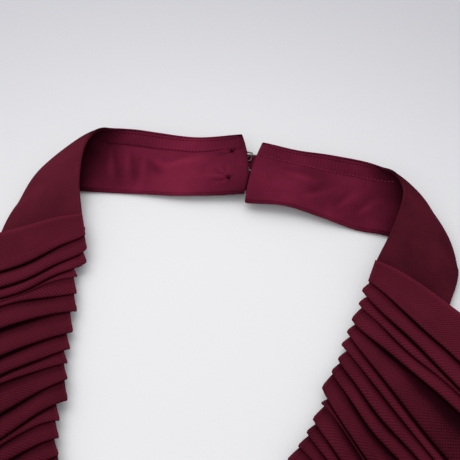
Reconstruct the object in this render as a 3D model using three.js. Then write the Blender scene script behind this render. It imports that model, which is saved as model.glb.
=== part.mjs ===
// Maxi dress with a halter neck and pleated front, laid out flat on a table with its front up.
// The neckband lies in a soft loop: each strap climbs from the top corner of a pleated panel, rolls
// over at the shoulder, and crosses to the closure at the back of the neck with its inner face up.
// Sizes are millimetres. While the pieces are shaped, X runs across the dress, Y from hem to neck
// and Z up from the table, and the closure of the neckband is at x = 0, y = 0. At the end the whole
// dress is moved so that the middle of its outline lies over the origin.

import * as THREE from 'three';

// Driving sizes of the cloth
const SEAM_GAP = 0.3;          // clearance between two pieces that are sewn together
const BODY_WALL = 1.6;         // mesh and its backing in the body of the dress
const BAND_WALL = 2.0;         // neckband, two layers turned at the edges
const FACING_WALL = 1.0;       // narrow facing along the neckband's inner edge
const FACING_WIDTH = 11.0;
const FACING_START = 0.58;     // share of the neckband's length from the strap's foot
const BAND_WIDTH = 44.0;

// Driving sizes of the cut, one half of the dress
const NECK_POINT_Y = -350;     // where the two pleated panels meet in the V
const UNDERARM_X = 200;
const UNDERARM_Y = -205;
const WAIST_X = 163;
const WAIST_Y = -392;
const BACK_NECK_Y = -342;      // lowest point of the low back
const HIP_X = 225;
const HIP_Y = -600;
const HEM_X = 340;
const HEM_Y = -1440;
const CENTRE_GAP = 0.5;        // from the middle of the dress to each pleated panel

// Pleats of the front panels
const PLEATS = 32;             // on each side
const DROP = 0.1;              // share of a pleat's pitch that its folded edge drops over
const SWAY_LENGTH = 46;        // length of one slow wave along a pleat
const PRESSED = { least: 0.45, until: 32 };   // pleats are pressed flatter towards the neckline
const SEAM_CROWDING = 1.4;     // above 1, pleats sit closer together under the arm than at the waist
const FAN_FADE = { from: 11, to: 15 };   // pleats over which the fan's steering runs out
const FREE_REACH = 0.27;       // how far along a pleat its place is steered by its fan
const FULL_RELIEF_PITCH = 9.0; // a pleat narrower than this stands up less
const TIP_SLANT = 2.6;         // how far a pleat's end slants out from its upper corner to its tip

// One row for each pleat whose place is known, from the top of the panel down. The rest are even.
// pitch: along the neckline. fan: the same pleat 50 mm further out. arch and sway: how far its
// folded edge arches up, and waves, on the way there. tip: how far that edge stands out of the
// neckline. height: how far it stands above the pleat below.
const PLEAT_COLUMNS = 'pitch fan arch sway tip height';
const PLEAT_TABLES = {
  left: table(PLEAT_COLUMNS, [
    [15.1, 27.4, -4.5, 2.5, 2.4, 3.0],
    [10.4, 9.8, -6.4, 2.7, 4.3, 3.2],
    [7.9, 5.4, -6.6, 3.6, 4.6, 3.8],
    [6.0, 2.9, -0.7, 2.2, -0.1, 2.4],
    [10.7, 5.5, 4.1, -1.8, 0.5, 2.6],
    [10.5, 12.8, 2.9, 0.1, 1.6, 3.6],
    [11.8, 15.7, 2.5, -0.1, 0.7, 3.4],
    [9.1, 13.0, 5.9, -1.5, 0.2, 3.0],
    [7.2, 2.7, 4.9, -1.1, -0.3, 2.8],
    [8.3, 13.5, -0.6, 1.3, 0.4, 3.2],
    [11.0, 15.2, 3.3, 0.7, 1.5, 3.8],
    [9.1, 4.4, 9.8, -0.6, -1.2, 2.8],
    [7.5, 7.4, 6.9, -0.6, -0.8, 3.0],
    [7.2, 10.0, 3.0, 0, -0.4, 3.0],
  ]),
  right: table(PLEAT_COLUMNS, [
    [13.1, 25.2, 1.1, 0.4, 2.3, 3.0],
    [7.7, 10.5, -0.3, -0.4, 3.6, 3.4],
    [6.9, 1.7, -4.3, 2.0, 2.3, 3.0],
    [10.1, 9.8, -2.8, 0.5, 2.4, 3.8],
    [7.3, 19.5, 1.1, -0.4, 2.2, 3.0],
    [7.3, 4.6, 1.2, 0.1, 2.0, 3.0],
    [7.4, 6.2, -3.7, 1.6, 0.7, 3.4],
    [7.7, 7.5, -4.6, 1.9, 1.3, 3.0],
    [10.8, 14.8, -1.3, 0.3, 2.7, 3.6],
    [4.8, 1.6, 3.0, 0.3, -0.3, 2.4],
    [9.2, 7.9, -1.6, 0.8, 0.3, 3.0],
    [6.8, 1.8, -1.0, 0, 0.6, 3.0],
    [7.5, 8.5, 3.1, -0.1, 1.6, 3.0],
    [7.8, 8.6, 4.0, -0.1, 3.5, 3.0],
  ]),
};
const EVEN_PLEAT = { arch: 3.0, sway: 0, tip: 1.6, height: 3.0 };

// Where each panel starts, how its top edge runs, and the line 50 mm out along which its pleats fan
const PANELS = {
  left: {
    side: -1,
    corner: [-82.1, -54.2],
    bow: 3.4,
    fanStart: [-122.9, -72.5],
    fanWay: [0.312, -0.95],
    topEdge: { arch: -3.2, sway: 1.5, tip: -0.8 },
  },
  right: {
    side: 1,
    corner: [79.8, -58.5],
    bow: -1.6,
    fanStart: [130.1, -88.4],
    fanWay: [-0.33, -0.944],
    topEdge: { arch: 2.2, sway: -0.1, tip: 2.4 },
  },
};

// Rungs across the neckband, from the strap's foot under the panel to its end at the closure. Each
// is a curve from the band's inner edge, pulled towards a middle point, to its outer edge.
const RUNG_COLUMNS = 'innerX innerY innerZ middleX middleY middleZ outerX outerY outerZ';
const BAND_RUNGS = {
  left: table(RUNG_COLUMNS, [
    [-77, -74, 2.5, -98, -83, 2.5, -119.5, -92, 1.5],
    [-84, -53, 5, -104, -60, 5, -123.7, -70.5, 2.2],
    [-90.5, -36, 9.5, -110, -43, 15, -124.3, -56, 2],
    [-93.8, -21.5, 13, -121, -28, 15, -122, -46, 1.2],
    [-94.7, -10, 16, -124, -15.5, 9.5, -115, -39, 1.2],
    [-93, -1.5, 17, -115, -2, 10, -106, -35.5, 1.2],
    [-89.5, 5, 16, -108, 2, 8, -97, -33, 1.2],
    [-83, 9.8, 14, -91, -5, 3, -87, -31.8, 1.2],
    [-72, 13, 12, -74, -7, 2, -73, -29.8, 1.2],
    [-56, 13.8, 11, -56, -8, 2.5, -56.5, -28.3, 1.6],
    [-31.6, 15.4, 10, -31, -6, 5, -31, -26.7, 3.5],
    [-7, 22.7, 10, 4.6, 0, 7, 0, -20.8, 5.5],
  ]),
  right: table(RUNG_COLUMNS, [
    [74, -74, 2.5, 95, -83, 2.5, 116, -91, 1.5],
    [77.5, -57, 5, 98, -64, 5, 118.5, -74, 2.2],
    [83, -41, 8.5, 103, -47, 15, 120, -59, 2],
    [88, -23, 12, 115, -28, 15, 117.5, -48, 1.2],
    [89.3, -12, 15, 114, -15.5, 9.5, 109, -41, 1.2],
    [87, -4.5, 16, 109, -5.5, 8.5, 100, -37.5, 1.2],
    [82.5, 1, 16, 98, -2, 8, 92, -35, 1.2],
    [75.5, 6.8, 14, 84, -7, 3, 81, -33.3, 1.2],
    [65, 11.2, 12, 67, -9, 2, 68, -32.5, 1.4],
    [47.2, 13.6, 11, 47, -8, 3, 48.5, -29.5, 4],
    [27, 15.3, 10, 28, -6, 5.5, 27.5, -26.3, 6],
    [6.5, 17.8, 10, 1.6, -4, 7, 4.2, -27.3, 5.5],
  ]),
};

// Long soft folds of the skirt's front. waist and hem: place across it, from -1 to 1.
const SKIRT_FOLDS = table('waist hem width height', [
  [-0.78, -0.8, 46, 6],
  [-0.5, -0.47, 54, 9],
  [-0.22, -0.19, 42, 6],
  [0.02, 0.06, 60, 12],
  [0.3, 0.31, 44, 7],
  [0.55, 0.56, 52, 9],
  [0.8, 0.82, 42, 6],
]);

// Closure at the back of the neck
const WIRE = 0.9;              // diameter of the hooks and eyes
const PAIRS = table('name y', [['upper', 9.5], ['lower', -2.0]]);
const EYE_HALF = 3.2;
const EYE_BAR_X = 1.2;
const EYE_FOOT_X = -9;
const HOOK_TURN_X = -1.7;
const HOOK_BEND = 0.75;        // radius of the bend that goes round the eye's bar
const HOOK_FOOT_X = 11;
const UNDERLAP = { left: -12, right: 12, low: -14, high: 11.5, wall: 1.0 };
const CLOSURE_HEIGHT = { left: 7.3, right: 7.8 };   // middle of each end's wall, at y = 0
const CLOSURE_RISE = 0.115;    // how much higher that is for each millimetre towards the top edge
const CLOSURE_SAG = 0.05;      // how the band's wall falls away on each side of the closure

const WINE = { mesh: 0x5e1830, band: 0x571328, lining: 0x661a33, steel: 0xb9b7b4 };

function table(columns, rows) {
  const names = columns.split(' ');
  return rows.map((row) => Object.fromEntries(names.map((name, i) => [name, row[i]])));
}

const clamp = (value, low, high) => Math.min(high, Math.max(low, value));
const mix = (a, b, t) => a + (b - a) * t;
const even = (count, from = 0, to = 1) => (
  Array.from({ length: count }, (_, i) => mix(from, to, i / (count - 1))));
const smooth = (t) => {
  const s = clamp(t, 0, 1);
  return s * s * (3 - 2 * s);
};

// Value number t of a list, with straight lines between its entries
function between(list, t) {
  const i = clamp(Math.floor(t), 0, list.length - 2);
  return mix(list[i], list[i + 1], clamp(t - i, 0, 1));
}

// Running totals of a list, from zero
function totals(list) {
  const sums = [0];
  for (const step of list) sums.push(sums.at(-1) + step);
  return sums;
}

// Neckline, fan and seam of a pleated panel
function panelLayout(name) {
  const { side, corner, bow, fanStart, fanWay, topEdge } = PANELS[name];
  const known = PLEAT_TABLES[name];
  const start = new THREE.Vector2(...corner);
  const apex = new THREE.Vector2(side * CENTRE_GAP, NECK_POINT_Y);
  const neckline = apex.distanceTo(start);
  const used = known.reduce((sum, pleat) => sum + pleat.pitch, 0);
  const rest = (neckline - used) / (PLEATS - known.length);
  const column = (key, filler) => (
    Array.from({ length: PLEATS }, (_, k) => (known[k] ? known[k][key] : filler)));
  const alongNeck = totals(column('pitch', rest));
  const alongFan = totals(known.map((pleat) => pleat.fan));
  const along = apex.clone().sub(start).divideScalar(neckline);
  const outward = new THREE.Vector2(-along.y, along.x);
  if (outward.x * side < 0) outward.negate();
  return {
    side, start, along, outward, neckline, bow, alongNeck, alongFan,
    fanStart: new THREE.Vector2(...fanStart),
    fanWay: new THREE.Vector2(...fanWay),
    arches: [topEdge.arch, ...column('arch', EVEN_PLEAT.arch)],
    sways: [topEdge.sway, ...column('sway', EVEN_PLEAT.sway)],
    tips: [topEdge.tip, ...column('tip', EVEN_PLEAT.tip)],
    heights: [known[0].height, ...column('height', EVEN_PLEAT.height)],
  };
}

// Point of the neckline at pleat k, counted from the top, which may be a fraction
function neckPoint(layout, k) {
  const s = between(layout.alongNeck, k);
  const t = s / layout.neckline;
  const point = layout.start.clone().addScaledVector(layout.along, s);
  return point.addScaledVector(layout.outward, layout.bow * 4 * t * (1 - t));
}

// Point of the side seam, and then of the waist seam, where pleat k ends
function seamPoint(layout, k) {
  const underarm = new THREE.Vector2(layout.side * UNDERARM_X, UNDERARM_Y);
  const waistSide = new THREE.Vector2(layout.side * WAIST_X, WAIST_Y);
  const waistFront = new THREE.Vector2(layout.side * CENTRE_GAP, WAIST_Y);
  const sideSeam = underarm.distanceTo(waistSide);
  const waistSeam = waistSide.distanceTo(waistFront);
  const s = (sideSeam + waistSeam) * (k / PLEATS) ** SEAM_CROWDING;
  if (s <= sideSeam) return underarm.lerp(waistSide, s / sideSeam);
  return waistSide.lerp(waistFront, Math.min(1, (s - sideSeam) / waistSeam));
}

// Point that pleat k passes through a little way out from the neckline
function fanPoint(layout, k) {
  const neck = neckPoint(layout, k);
  const free = neck.lerp(seamPoint(layout, k), FREE_REACH);
  const last = layout.alongFan.length - 1;
  if (k > last) return free;
  const steered = layout.fanStart.clone().addScaledVector(layout.fanWay, between(layout.alongFan, k));
  return steered.lerp(free, clamp((k - FAN_FADE.from) / (FAN_FADE.to - FAN_FADE.from), 0, 1));
}

// Plan of pleat k's fold line: u runs from 0 at the neckline to 1 at the seam
function foldPoint(layout, k, u) {
  const neck = neckPoint(layout, k);
  const fan = fanPoint(layout, k);
  const seam = seamPoint(layout, k);
  const near = fan.distanceTo(neck);
  const t = near / (near + seam.distanceTo(fan));
  const pull = fan.clone().addScaledVector(neck, -((1 - t) ** 2)).addScaledVector(seam, -t * t);
  pull.divideScalar(2 * t * (1 - t));
  const chord = seam.clone().sub(neck);
  const length = chord.length();
  const up = new THREE.Vector2(-chord.y, chord.x).divideScalar(length);
  if (up.y < 0) up.negate();
  const s = u * length;
  const arch = between(layout.arches, k) * (1 - Math.exp(-s / 9)) * Math.exp(-s / 28);
  const sway = between(layout.sways, k) * Math.sin(2 * Math.PI * s / SWAY_LENGTH) * Math.exp(-s / 45);
  const point = neck.multiplyScalar((1 - u) ** 2).addScaledVector(pull, 2 * u * (1 - u));
  return point.addScaledVector(seam, u * u).addScaledVector(up, (arch + sway) * Math.min(1, length / 120));
}

// Top of the strap's foot under a point of the panel, and how fully the foot lies under it
function strapUnder(layout, point) {
  const rungs = BAND_RUNGS[layout.side < 0 ? 'left' : 'right'];
  const [foot, top] = rungs;
  const middle = ({ innerX, innerY, outerX, outerY }) => (
    new THREE.Vector2((innerX + outerX) / 2, (innerY + outerY) / 2));
  const down = middle(foot).sub(middle(top));
  const length = down.length();
  down.divideScalar(length);
  const outward = new THREE.Vector2(top.outerX - top.innerX, top.outerY - top.innerY).normalize();
  const offset = point.clone().sub(middle(top));
  const along = offset.dot(down);
  const across = offset.dot(outward);
  const t = clamp(1 - along / length, -0.05, 1.6) / (rungs.length - 1);
  const surface = bandPoint(rungs, Math.max(0, t), clamp(0.5 + across / BAND_WIDTH, 0, 1)).z + BAND_WALL / 2;
  const beyond = Math.hypot(Math.max(0, Math.abs(across) - BAND_WIDTH / 2), Math.max(0, along - length));
  return { surface, share: smooth(1 - beyond / STRAP_EASE) };
}

const UNDERSIDE = BODY_WALL + SEAM_GAP;
const LOFT = 3.2;              // how far the bunched layers hold a panel off what it lies on
const STRAP_EASE = 20;         // distance over which a panel comes down beside the strap's foot
const STRAP_CLEARANCE = 0.55;

// Height of a panel's underside: down at the seams, soft and uneven between them
function undersideHeight(layout, k, u, point) {
  const puff = 0.7 + 0.2 * Math.sin(0.55 * k + 1) + 0.1 * Math.sin(1.7 * k);
  const open = Math.min(1, (PLEATS - k) / 4);
  const free = UNDERSIDE + LOFT * puff * open * Math.sin(Math.PI * Math.min(1, u * 0.92 + 0.08)) ** 0.8;
  const strap = strapUnder(layout, point);
  return mix(free, strap.surface + STRAP_CLEARANCE, strap.share);
}

// How far pleat k's folded edge stands above the pleat below it, at u along it
function foldHeight(layout, k, u) {
  const pitch = foldPoint(layout, k, u).distanceTo(foldPoint(layout, Math.max(0, k - 1), u));
  const room = k < 1 ? 1 : Math.min(1, pitch / FULL_RELIEF_PITCH);
  const s = u * neckPoint(layout, k).distanceTo(seamPoint(layout, k));
  const pressed = mix(PRESSED.least, 1, smooth(s / PRESSED.until));
  return between(layout.heights, k) * room * pressed * (1 - 0.45 * u);
}

// One row of points along a pleat. lift is the row's share of the fold's height.
function pleatRow(layout, k, columns, lift, tipShare, wall) {
  return columns.map((u) => {
    const point = foldPoint(layout, k, u);
    const z = undersideHeight(layout, k, u, point);
    if (u === 0) {
      const outward = point.clone().sub(foldPoint(layout, k, 0.02)).normalize();
      const fade = clamp((PLEATS - k) / 5, 0, 1);
      const tip = between(layout.tips, Math.ceil(k - 0.001)) - (1 - tipShare) * TIP_SLANT;
      point.addScaledVector(outward, fade * tip);
    }
    const relief = lift * foldHeight(layout, Math.min(PLEATS, Math.ceil(k - DROP)), u);
    return new THREE.Vector3(point.x, point.y, z + wall + relief);
  });
}

// Knife-pleated front panel: each pleat rises from under the fold above it to its own folded edge
function pleatedPanel(name) {
  const layout = panelLayout(name);
  const top = { across: [0, 0.03, 0.09, 0.17, 0.27, 0.39, 0.53, 0.68, 0.84, 1], along: [], rows: [] };
  const low = { across: [0, 0.06, 0.18, 0.34, 0.55, 0.78, 1], along: [], rows: [] };
  const addRow = (sheet, k, lift, tipShare) => {
    sheet.along.push(k / PLEATS);
    sheet.rows.push(pleatRow(layout, k, sheet.across, lift, tipShare, sheet === top ? BODY_WALL : 0));
  };
  addRow(top, 0, 0.4, 1);
  addRow(low, 0, 0, 1);
  for (let k = 0; k < PLEATS; k += 1) {
    if (k > 0) addRow(top, k + DROP, 0, 0);
    addRow(top, k + 0.55, 0.7, 0.45);
    addRow(top, k + 1, 1, 1);
    addRow(low, k + 0.55, 0.3, 0.45);
    addRow(low, k + 1, k + 1 < PLEATS ? 0.3 : 0, 0.8);
  }
  return closedWall(top, low);
}

// Smooth curve through the rows of a table, for one column
function throughRows(rows, key, t) {
  const i = clamp(Math.floor(t), 0, rows.length - 2);
  const f = t - i;
  const p1 = rows[i][key];
  const p2 = rows[i + 1][key];
  const p0 = i > 0 ? rows[i - 1][key] : 2 * p1 - p2;
  const p3 = i < rows.length - 2 ? rows[i + 2][key] : 2 * p2 - p1;
  return 0.5 * (2 * p1 + (p2 - p0) * f + (2 * p0 - 5 * p1 + 4 * p2 - p3) * f ** 2
    + (3 * p1 - p0 - 3 * p2 + p3) * f ** 3);
}

// Middle of the neckband's wall: t from foot to end, w from inner to outer edge, both 0 to 1
function bandPoint(rungs, t, w) {
  const at = t * (rungs.length - 1);
  const corner = (part) => (
    new THREE.Vector3(...['X', 'Y', 'Z'].map((axis) => throughRows(rungs, part + axis, at))));
  const point = corner('inner').multiplyScalar((1 - w) ** 2);
  return point.addScaledVector(corner('middle'), 2 * w * (1 - w)).addScaledVector(corner('outer'), w * w);
}

// Point off the neckband's middle, on the side of its inner face where offset is above zero. A
// longer reach levels out the direction over tight curves.
function offBand(name, t, w, offset, reachT = 0.002, reachW = 0.002) {
  const rungs = BAND_RUNGS[name];
  const alongT = bandPoint(rungs, Math.min(1, t + reachT), w);
  alongT.sub(bandPoint(rungs, Math.max(0, t - reachT), w));
  const alongW = bandPoint(rungs, t, Math.min(1, w + reachW));
  alongW.sub(bandPoint(rungs, t, Math.max(0, w - reachW)));
  const inward = alongT.cross(alongW).normalize().multiplyScalar(PANELS[name].side);
  return bandPoint(rungs, t, w).addScaledVector(inward, offset);
}

// A sheet of points, one for each pair of values along and across
function sheet(along, across, place) {
  const shares = (values) => values.map((value) => (value - values[0]) / (values.at(-1) - values[0]));
  const rows = along.map((t) => across.map((w) => place(t, w)));
  return { along: shares(along), across: shares(across), rows };
}

// Strip of cloth on the neckband, between two offsets from its middle
function bandStrip(name, along, across, low, high, reachT, reachW) {
  const layer = (offset) => sheet(along, across, (t, w) => offBand(name, t, w, offset, reachT, reachW));
  return closedWall(layer(high), layer(low));
}

function neckband(name) {
  return bandStrip(name, even(37), even(9), -BAND_WALL / 2, BAND_WALL / 2);
}

// The facing shows on the back of the neck, from inside the shoulder's fold to the closure
function facing(name) {
  const face = BAND_WALL / 2 + SEAM_GAP;
  const across = even(3, 0.015, FACING_WIDTH / BAND_WIDTH);
  return bandStrip(name, even(24, FACING_START, 0.992), across, face, face + FACING_WALL, 0.01, 0.1);
}

// Flat wall on the table, from a function that gives each place's x and y
function flatPiece(along, across, place) {
  const layer = (z) => sheet(along, across, (t, a) => new THREE.Vector3(...place(t, a), z));
  return closedWall(layer(BODY_WALL), layer(0));
}

function bodiceBack() {
  return flatPiece(even(3), even(17, -1, 1), (t, a) => {
    const neckY = BACK_NECK_Y + (UNDERARM_Y - BACK_NECK_Y) * a * a;
    const y = mix(WAIST_Y, neckY, t);
    return [a * mix(WAIST_X, UNDERARM_X, (y - WAIST_Y) / (UNDERARM_Y - WAIST_Y)), y];
  });
}

// Half the skirt's width at a height
function skirtHalf(y) {
  if (y > HIP_Y) {
    const down = (WAIST_Y - y) / (WAIST_Y - HIP_Y);
    return WAIST_X + (HIP_X - WAIST_X) * Math.sin((Math.PI / 2) * down);
  }
  return mix(HIP_X, HEM_X, ((HIP_Y - y) / (HIP_Y - HEM_Y)) ** 1.05);
}

const SKIRT_TOP_Y = WAIST_Y - SEAM_GAP;
const skirtLevels = (count) => even(count).map((t) => mix(SKIRT_TOP_Y, HEM_Y, t ** 1.2));

function skirtBack() {
  return flatPiece(skirtLevels(12), even(3, -1, 1), (y, a) => [a * skirtHalf(y), y]);
}

// Height of the skirt front's folds at a place: a runs from -1 to 1 across it, y down it
function skirtFold(a, y) {
  const down = (SKIRT_TOP_Y - y) / (SKIRT_TOP_Y - HEM_Y);
  const half = skirtHalf(y);
  const grown = 0.3 + 0.7 * smooth(down * 1.3);
  const edge = smooth((1 - Math.abs(a)) / 0.06);
  const folds = SKIRT_FOLDS.map((fold) => {
    const middle = mix(fold.waist, fold.hem, down);
    const spread = fold.width * (0.55 + 0.45 * down);
    return fold.height * Math.exp(-(((a - middle) * half * 1.7 / spread) ** 2));
  });
  return grown * edge * folds.reduce((sum, height) => sum + height, 0);
}

function skirtFront() {
  const layer = (z) => sheet(skirtLevels(16), even(53, -1, 1), (y, a) => (
    new THREE.Vector3(a * skirtHalf(y), y, z + skirtFold(a, y))));
  return closedWall(layer(UNDERSIDE + BODY_WALL), layer(UNDERSIDE));
}

// Closure: how high a layer lies that is a given depth under the middle of the band's wall
function closureHeight(x, y, depth) {
  const level = mix(CLOSURE_HEIGHT.left, CLOSURE_HEIGHT.right, smooth((x + 2) / 6));
  return level + CLOSURE_RISE * y - CLOSURE_SAG * Math.abs(x) - depth;
}

const HOOK_DEPTH = BAND_WALL / 2 + SEAM_GAP + WIRE / 2 + 0.1;
const EYE_DEPTH = HOOK_DEPTH + 2 * HOOK_BEND;
const UNDERLAP_DEPTH = EYE_DEPTH + WIRE / 2 + SEAM_GAP + 0.1;

function underlap() {
  const across = even(9, UNDERLAP.left, UNDERLAP.right);
  const layer = (depth) => sheet(even(6, UNDERLAP.low, UNDERLAP.high), across, (y, x) => (
    new THREE.Vector3(x, y, closureHeight(x, y, depth))));
  return closedWall(layer(UNDERLAP_DEPTH), layer(UNDERLAP_DEPTH + UNDERLAP.wall));
}

// Round wire through a few places, each an x, a y and a depth under the band
function wire(places) {
  const points = places.map(([x, y, depth]) => new THREE.Vector3(x, y, closureHeight(x, y, depth)));
  const turns = even(7, 0, 2 * Math.PI).slice(1);
  const section = new THREE.Shape(turns.map((turn) => (
    new THREE.Vector2(Math.cos(turn), Math.sin(turn)).multiplyScalar(WIRE / 2))));
  const path = new THREE.CatmullRomCurve3(points, false, 'centripetal');
  return new THREE.ExtrudeGeometry(section, { steps: 36, bevelEnabled: false, extrudePath: path });
}

function eye(y) {
  const bend = 1.1;
  const leg = (way) => [
    [EYE_FOOT_X, y + way * EYE_HALF, HOOK_DEPTH],
    [EYE_FOOT_X + 3, y + way * EYE_HALF, HOOK_DEPTH],
    [EYE_BAR_X - bend - 1, y + way * EYE_HALF, EYE_DEPTH],
    [EYE_BAR_X - 0.3, y + way * (EYE_HALF - 0.3), EYE_DEPTH],
    [EYE_BAR_X, y + way * (EYE_HALF - bend), EYE_DEPTH],
  ];
  return wire([...leg(1), ...leg(-1).reverse()]);
}

function hook(y) {
  const bendX = HOOK_TURN_X + HOOK_BEND;
  const bend = even(5, 0, Math.PI).map((turn) => (
    [bendX - HOOK_BEND * Math.sin(turn), y, HOOK_DEPTH + HOOK_BEND * (1 - Math.cos(turn))]));
  return wire([[HOOK_FOOT_X, y, HOOK_DEPTH], [4, y, HOOK_DEPTH], ...bend, [bendX + 0.5, y, EYE_DEPTH]]);
}

// Closed body between two sheets of points, joined all round. The sheets may differ in count.
function closedWall(top, low) {
  const points = [];
  const faces = [];
  const indexed = ({ rows }) => rows.map((row) => row.map((point) => points.push(point) - 1));
  const topIndex = indexed(top);
  const lowIndex = indexed(low);
  sheetFaces(topIndex, (a, b, c) => faces.push([a, b, c]));
  sheetFaces(lowIndex, (a, b, c) => faces.push([a, c, b]));
  const topEdges = outline(topIndex, top);
  const lowEdges = outline(lowIndex, low);
  topEdges.forEach((edge, i) => joinEdges(faces, edge, lowEdges[i]));
  const volume = faces.reduce((sum, [a, b, c]) => (
    sum + points[a].dot(points[b].clone().cross(points[c]))), 0);
  const outwardFaces = volume > 0 ? faces : faces.map(([a, b, c]) => [a, c, b]);
  const geometry = new THREE.BufferGeometry().setFromPoints(points);
  geometry.setIndex(outwardFaces.flat());
  geometry.computeVertexNormals();
  return geometry;
}

function sheetFaces(index, add) {
  for (let i = 0; i < index.length - 1; i += 1) {
    for (let j = 0; j < index[i].length - 1; j += 1) {
      add(index[i][j], index[i + 1][j], index[i + 1][j + 1]);
      add(index[i][j], index[i + 1][j + 1], index[i][j + 1]);
    }
  }
}

// The four edges of a sheet, one after the other round it, with each point's share of its edge
function outline(index, { along, across }) {
  const last = index.at(-1).length - 1;
  const back = (shares) => shares.map((share) => 1 - share).reverse();
  return [
    { ring: index.map((row) => row[0]), shares: along },
    { ring: index.at(-1), shares: across },
    { ring: index.map((row) => row[last]).reverse(), shares: back(along) },
    { ring: [...index[0]].reverse(), shares: back(across) },
  ];
}

// Faces between two edges, stepping along whichever is behind
function joinEdges(faces, upper, lower) {
  let i = 0;
  let j = 0;
  while (i < upper.ring.length - 1 || j < lower.ring.length - 1) {
    const lowerDone = j === lower.ring.length - 1;
    if (lowerDone || (i < upper.ring.length - 1 && upper.shares[i + 1] <= lower.shares[j + 1])) {
      faces.push([upper.ring[i], lower.ring[j], upper.ring[i + 1]]);
      i += 1;
    } else {
      faces.push([upper.ring[i], lower.ring[j], lower.ring[j + 1]]);
      j += 1;
    }
  }
}

const FINISHES = {
  mesh: new THREE.MeshStandardMaterial({ color: WINE.mesh, roughness: 0.85, metalness: 0 }),
  band: new THREE.MeshStandardMaterial({ color: WINE.band, roughness: 0.8, metalness: 0 }),
  lining: new THREE.MeshStandardMaterial({ color: WINE.lining, roughness: 0.7, metalness: 0 }),
  steel: new THREE.MeshStandardMaterial({ color: WINE.steel, roughness: 0.3, metalness: 1 }),
};

function piece(name, geometry, finish) {
  const mesh = new THREE.Mesh(geometry, FINISHES[finish].clone());
  mesh.name = name;
  return mesh;
}

const group = new THREE.Group();
for (const name of ['left', 'right']) {
  group.add(piece(`neckband_${name}`, neckband(name), 'band'));
  group.add(piece(`neckband_facing_${name}`, facing(name), 'lining'));
  group.add(piece(`bodice_front_${name}`, pleatedPanel(name), 'mesh'));
}
group.add(piece('bodice_back', bodiceBack(), 'mesh'));
group.add(piece('skirt_front', skirtFront(), 'mesh'));
group.add(piece('skirt_back', skirtBack(), 'mesh'));
group.add(piece('closure_underlap', underlap(), 'lining'));
for (const pair of PAIRS) {
  group.add(piece(`hook_${pair.name}`, hook(pair.y), 'steel'));
  group.add(piece(`eye_${pair.name}`, eye(pair.y), 'steel'));
}

// The middle of the dress's outline goes over the origin, and its underside onto the table
const reach = new THREE.Box3().setFromObject(group);
const middle = reach.getCenter(new THREE.Vector3());
group.position.set(-middle.x, -middle.y, -reach.min.z);

export default group;
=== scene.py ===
# %% [markdown]
# # A halter-neck maxi dress, laid out flat
# The dress lies front up on a pale table. Its neckband makes a soft loop: each strap climbs from
# the corner of a pleated panel, rolls over, and crosses to the closure at the back of the neck.
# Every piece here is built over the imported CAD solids, in metres and in their frame, so nothing
# has to be fitted by eye.

from math import pi, radians

import bpy
import numpy as np
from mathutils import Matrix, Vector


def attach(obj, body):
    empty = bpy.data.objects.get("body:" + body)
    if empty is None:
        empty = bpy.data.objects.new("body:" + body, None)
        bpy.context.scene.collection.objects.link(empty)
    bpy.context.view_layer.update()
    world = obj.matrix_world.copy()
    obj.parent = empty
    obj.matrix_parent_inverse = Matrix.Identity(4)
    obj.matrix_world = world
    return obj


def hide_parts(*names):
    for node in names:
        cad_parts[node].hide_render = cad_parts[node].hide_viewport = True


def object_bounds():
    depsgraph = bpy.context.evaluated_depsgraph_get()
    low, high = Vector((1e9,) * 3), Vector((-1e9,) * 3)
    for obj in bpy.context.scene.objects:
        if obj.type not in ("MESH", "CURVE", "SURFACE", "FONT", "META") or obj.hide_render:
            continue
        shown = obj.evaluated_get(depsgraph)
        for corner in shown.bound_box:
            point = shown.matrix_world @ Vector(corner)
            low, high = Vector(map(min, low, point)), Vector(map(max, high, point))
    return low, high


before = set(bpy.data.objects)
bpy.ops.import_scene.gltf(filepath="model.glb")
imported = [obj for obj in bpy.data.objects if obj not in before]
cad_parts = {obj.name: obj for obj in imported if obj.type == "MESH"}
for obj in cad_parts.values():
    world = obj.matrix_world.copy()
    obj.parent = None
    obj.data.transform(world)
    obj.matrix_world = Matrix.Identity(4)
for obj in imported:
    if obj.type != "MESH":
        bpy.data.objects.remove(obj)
CAD_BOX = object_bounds()
print("solids:", sorted(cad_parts))
print("box of the solids:", CAD_BOX)

# %% [markdown]
# ## Sizes
# A dressmaker works from a few driving measures. These are the same ones as in the part's source,
# in millimetres, with the closure at x = 0, y = 0. One shift turns them into the row's frame. It is
# read from the box, where the hem is the lowest edge.

# %% Driving sizes
BAND_WIDTH = 44.0
BAND_HALF_WALL = 0.8
FACING_WIDTH = 11.0
FACING_START = 0.58
NECK_POINT_Y = -350
UNDERARM = (200, -205)
WAIST = (163, -392)
BACK_NECK_Y = -342
HIP = (225, -600)
HEM = (340, -1440)
CENTRE_GAP = 0.5
PLEATS = 32
UNDERSIDE = 1.9
BODY_WALL = 1.6

SHIFT_Y = CAD_BOX[0][1] * 1000 - HEM[1]


def to_row(points):
    """Garment millimetres to metres in the row's frame."""
    return (np.asarray(points, float) + (0, SHIFT_Y, 0)) / 1000


print(f"the closure is {SHIFT_Y:.2f} mm above the middle of the dress")

# %% [markdown]
# ## Small tools for sheets
# Cloth is a grid of points with a little thickness. Plain array code places the points, because
# each one has a meaning: so far along the cloth, so far across it. The same two distances are kept
# on the mesh as an attribute called "cloth", so that a weave can follow the real threads.


# %% Sheets of points
def smooth(t):
    s = np.clip(t, 0, 1)
    return s * s * (3 - 2 * s)


def mix(a, b, t):
    return a + (b - a) * t


def bump(distance, width):
    """A soft bump: 1 in the middle, almost nothing at twice its width."""
    return np.exp(-((distance / width) ** 2))


def unit(vectors):
    return vectors / np.maximum(np.linalg.norm(vectors, axis=-1, keepdims=True), 1e-9)


def grid_normals(points):
    down = np.gradient(points, axis=0)
    over = np.gradient(points, axis=1)
    return unit(np.cross(over, down))


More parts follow.
